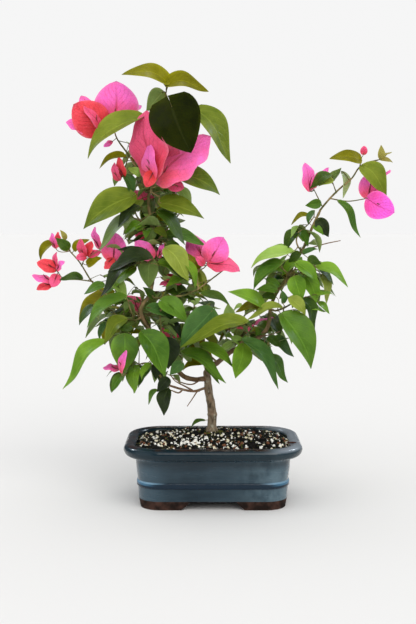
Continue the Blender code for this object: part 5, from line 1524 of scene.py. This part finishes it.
def fits(leaf, plan, taken):
    """Whether a small leaf lies where the photograph is dense, off the sky, and apart from the others."""
    middle, tip = middle_of(leaf), leaf["tip"]
    low, high = BACK_DEPTH if plan["space"] else FRONT_DEPTH
    outside = (tip < MODEL_BOX[0] + BOX_MARGIN) | (tip > MODEL_BOX[1] - BOX_MARGIN)
    if not low < middle[1] < high or outside.any():
        return False
    spots = [tuple(map(float, as_seen(place))) for place in (middle, tip, leaf["base"])]
    if any(within(SKY, *spot) for spot in spots[:2]) or hides_stem(spots, middle[1]):
        return False
    if plan["space"]:
        dense = in_space((*spots[0], middle[1]), plan["space"])
    else:
        dense = within(THICKETS, *spots[0])
    return dense and np.linalg.norm(np.array(taken) - middle, axis=1).min() > APART


print(len(THICKETS), "thickets and", len(SKY), "windows of sky")


# %% Fine twigs and small leaves
FIRST_TWIGLET, TWIGLET_EVERY, TWIGLET_REACH = 5, 8.0, (12, 34)                   # mm
TWIGLET_STRAY, TWIGLET_LIFT, TWIGLET_SIDE = (-0.4, 0.4), (-0.35, 0.8), (0.8, 1.4)    # radians
TWIGLET_LEAVES, TWIGLET_SAG = (2, 5), 0.12       # number of leaves, and how deep the tip hangs by reach
SMALL_LENGTH, SMALL_STALK, SMALL_DROOP, SMALL_ROLL = (15, 33), (2.5, 6), (-0.1, 1.0), (-0.6, 0.6)
SMALL_TONES = ("green", "moss", "bright", "olive", "bright", "grey", "lime", "dark")
# the arm's small leaves take lighter tones: painted light on the crown's right side
ARM_FROM, LIT_ARM_TONES = 45.0, ("bright", "green", "lime", "bright", "bright", "moss", "green", "teal")
HEAD_FROM, HEAD_TONES = 235.0, ("grey", "moss", "bright", "grey", "lime", "moss", "pale", "green")


def tones_at(root):
    """Lighter tones right of ARM_FROM, for painted light on the crown's right, and paler above HEAD_FROM."""
    if root[0] > ARM_FROM:
        return LIT_ARM_TONES
    return HEAD_TONES if root[2] > HEAD_FROM else SMALL_TONES


def small_leaf(root, turn, tone, rng):
    """A leaf by the source's rule, rolled a little about its own length."""
    leaf = rule_leaf(root, turn, rng.uniform(*SMALL_DROOP), rng.uniform(*SMALL_STALK),
                     rng.uniform(*SMALL_LENGTH), "leaf", tone)
    axis, roll = unit(leaf["tip"] - leaf["base"]), rng.uniform(*SMALL_ROLL)
    leaf["up"] = leaf["up"] * math.cos(roll) + np.cross(axis, leaf["up"]) * math.sin(roll)
    leaf["lobes"] = leaf["lift"] = 0.0
    return leaf


def twiglet(root, turn, plan, taken, rng):
    """One fine twig, root + out · share - sag · share², and the leaves it bears."""
    lift, reach = rng.uniform(*TWIGLET_LIFT), rng.uniform(*TWIGLET_REACH)
    level = math.cos(lift)
    out = reach * np.array((math.cos(turn) * level, math.sin(turn) * level, math.sin(lift)))
    sag = np.array((0, 0, TWIGLET_SAG * reach))
    count, last, grown = rng.integers(*TWIGLET_LEAVES), 0.0, []
    tones = tones_at(root)
    for j in range(count):
        share = (j + 1) / count
        side = 0 if j == count - 1 else (-1) ** j * rng.uniform(*TWIGLET_SIDE)
        spot = root + out * share - sag * share ** 2
        leaf = small_leaf(spot, turn + side, tones[rng.integers(len(tones))], rng)
        if fits(leaf, plan, taken):
            taken.append(middle_of(leaf))
            grown.append(leaf)
            last = share
    shares = np.linspace(0, last, 4)[:, None]
    return root + out * shares - sag * shares ** 2, grown


def fine_growth(plan, seed, taken):
    """Fine twigs along the lines of a mass, and their small leaves. A twig that bears none is dropped."""
    rng = np.random.default_rng(100 + seed)
    twiglets = []
    for line in plan["lines"]:
        steps = lengths_along(line)
        for k, place in enumerate(np.arange(FIRST_TWIGLET, steps[-1], TWIGLET_EVERY)):
            root = np.array([np.interp(place, steps, line[:, i]) for i in range(3)])
            turn = GOLDEN_ANGLE * k + rng.uniform(*TWIGLET_STRAY)
            twiglets.append(twiglet(root, turn, plan, taken, rng))
    return [(twig, grown) for twig, grown in twiglets if grown]


LEADER = {"lines": [LIMBS["leader_upper"][2]], "space": None}    # the leader bears small leaves of its own
taken = [middle_of(leaf) for leaf in big_blades]
growth = [pair for seed, plan in enumerate(MASSES + [LEADER]) for pair in fine_growth(plan, seed, taken)]
fine_twigs = [twig for twig, grown in growth]
small_leaves = [leaf for twig, grown in growth for leaf in grown]
print(len(small_leaves), "small leaves on", len(fine_twigs), "fine twigs")

# %% Their pieces
SMALL_ROWS, FINE_RADII, FINE_AGE = 8, np.linspace(0.5, 0.28, 4), 0.15
add_blades("small_leaves", small_leaves, SMALL_ROWS, COARSE, LEAF_THICK, 31, leaf_finishes, MASS_NAMES,
           BLADE_CREASE)
fine_shape = rings_shape(np.concatenate([tube_rings(line, FINE_RADII, 5) for line in fine_twigs]))
fine_shape["shade"][:] = FINE_AGE
add_piece("fine_twigs", joined([fine_shape, stalk_shape(small_leaves, FINE_AGE, 4, 4)]), [BARK],
          MASS_NAMES)

# %% [markdown]
# ## Flowers and a shoot at the foot
# The papery bracts are not the flowers. The true flower is a slender dark tube that stands on the midrib of
# each bract. One array holds them all, each in the frame of its bract.

# %% Flower tubes
TUBE_RINGS, TUBE_SIDES = 8, 7
TUBE_FROM, TUBE_REACH, TUBE_RADIUS = 0.06, 0.42, 0.62
SHORTEST_BRACT = 14.0                # a shorter one has no tube
LONGEST_BRACT = 34.0                 # a longer one has the tube of this length


def flower_shape(blades):
    """Tubes of rings round base + axis (from · L + reach t) + up (0.8 + reach t² / 5), swollen as sin πt.

    L is the bract's length. Both numbers of the UV are t."""
    base, tip, up = (np.array([blade[key] for blade in blades])[:, None] for key in ("base", "tip", "up"))
    length = np.linalg.norm(tip - base, axis=-1)[..., None]
    axis = (tip - base) / length
    t = np.linspace(0, 1, TUBE_RINGS)[None, :, None]
    reach = np.minimum(length, LONGEST_BRACT)
    line = base + axis * (length * TUBE_FROM + reach * TUBE_REACH * t) + up * (0.8 + reach * t ** 2 / 5)
    radius = TUBE_RADIUS * (0.75 + 0.5 * np.sin(math.pi * t))
    rings = line[:, :, None] + radius[..., None] * circle(np.cross(axis, up), up, TUBE_SIDES)
    ends = np.broadcast_to(t, rings.shape[:3])
    return rings_shape(rings, uv=np.stack((ends, ends), axis=-1).reshape(-1, 2))


def flower_finish():
    """Dark maroon, greener towards the mouth."""
    finish = Finish("flower_tube", Roughness=0.6, Specular_IOR_Level=0.2)
    mouth = finish.part(finish.node("ShaderNodeUVMap", {}, {}), 1).step(0.5, 1.0)
    clouds = finish.noise(300, 2.0).step(0.35, 0.65)
    tube = finish.mix(clouds, (0.090, 0.008, 0.018), (0.240, 0.028, 0.045))
    return finish.paint(Base_Color=finish.mix(mouth * 0.5, tube, (0.200, 0.110, 0.040)))


with_flowers = [blade for blade in bracts
                if np.linalg.norm(blade["tip"] - blade["base"]) > SHORTEST_BRACT]
add_piece("flowers", flower_shape(with_flowers), [flower_finish()], MASS_NAMES)
print(len(with_flowers), "flowers")

# %% A chip on the rim
CHIP_AT, CHIP_HALF = np.array((89.0, -34.0, 72.4)), np.array((6.0, 1.7, 1.0))


def chip_shape():
    """A bark chip on the rim: rings (cos p, sin p cos a, sin p sin a) · half size, with wavy sides."""
    polar = np.linspace(0.05, 0.95, 9)[:, None] * math.pi
    around = 2 * math.pi * np.arange(8) / 8
    wave = 1 + 0.18 * np.sin(3 * around + 5 * polar)
    rings = np.stack((-np.cos(polar) + 0 * around, wave * np.sin(polar) * np.cos(around),
                      wave * np.sin(polar) * np.sin(around)), axis=-1)
    return rings_shape((CHIP_AT + CHIP_HALF * rings)[None])


add_piece("rim_chip", chip_shape(), [plain_finish("chip_bark", (0.050, 0.018, 0.012))])

# %% A shoot at the foot
SHOOT = {"kind": "leaf", "tone": "dark", "start": seen(-5.0, 91.5, 17), "base": seen(-9.5, 91.5, 13),
         "tip": seen(-25.0, 83.0, 6), "up": unit(np.array((-0.35, -0.45, 0.8))), "width": 8.5,
         "lobes": 0.0, "lift": 0.12}
add_blades("foot_leaf", [SHOOT], BLADE_ROWS, FINE, LEAF_THICK, 51, leaf_finishes)
add_piece("foot_stalk", stalk_shape([SHOOT], 0.3), [BARK])
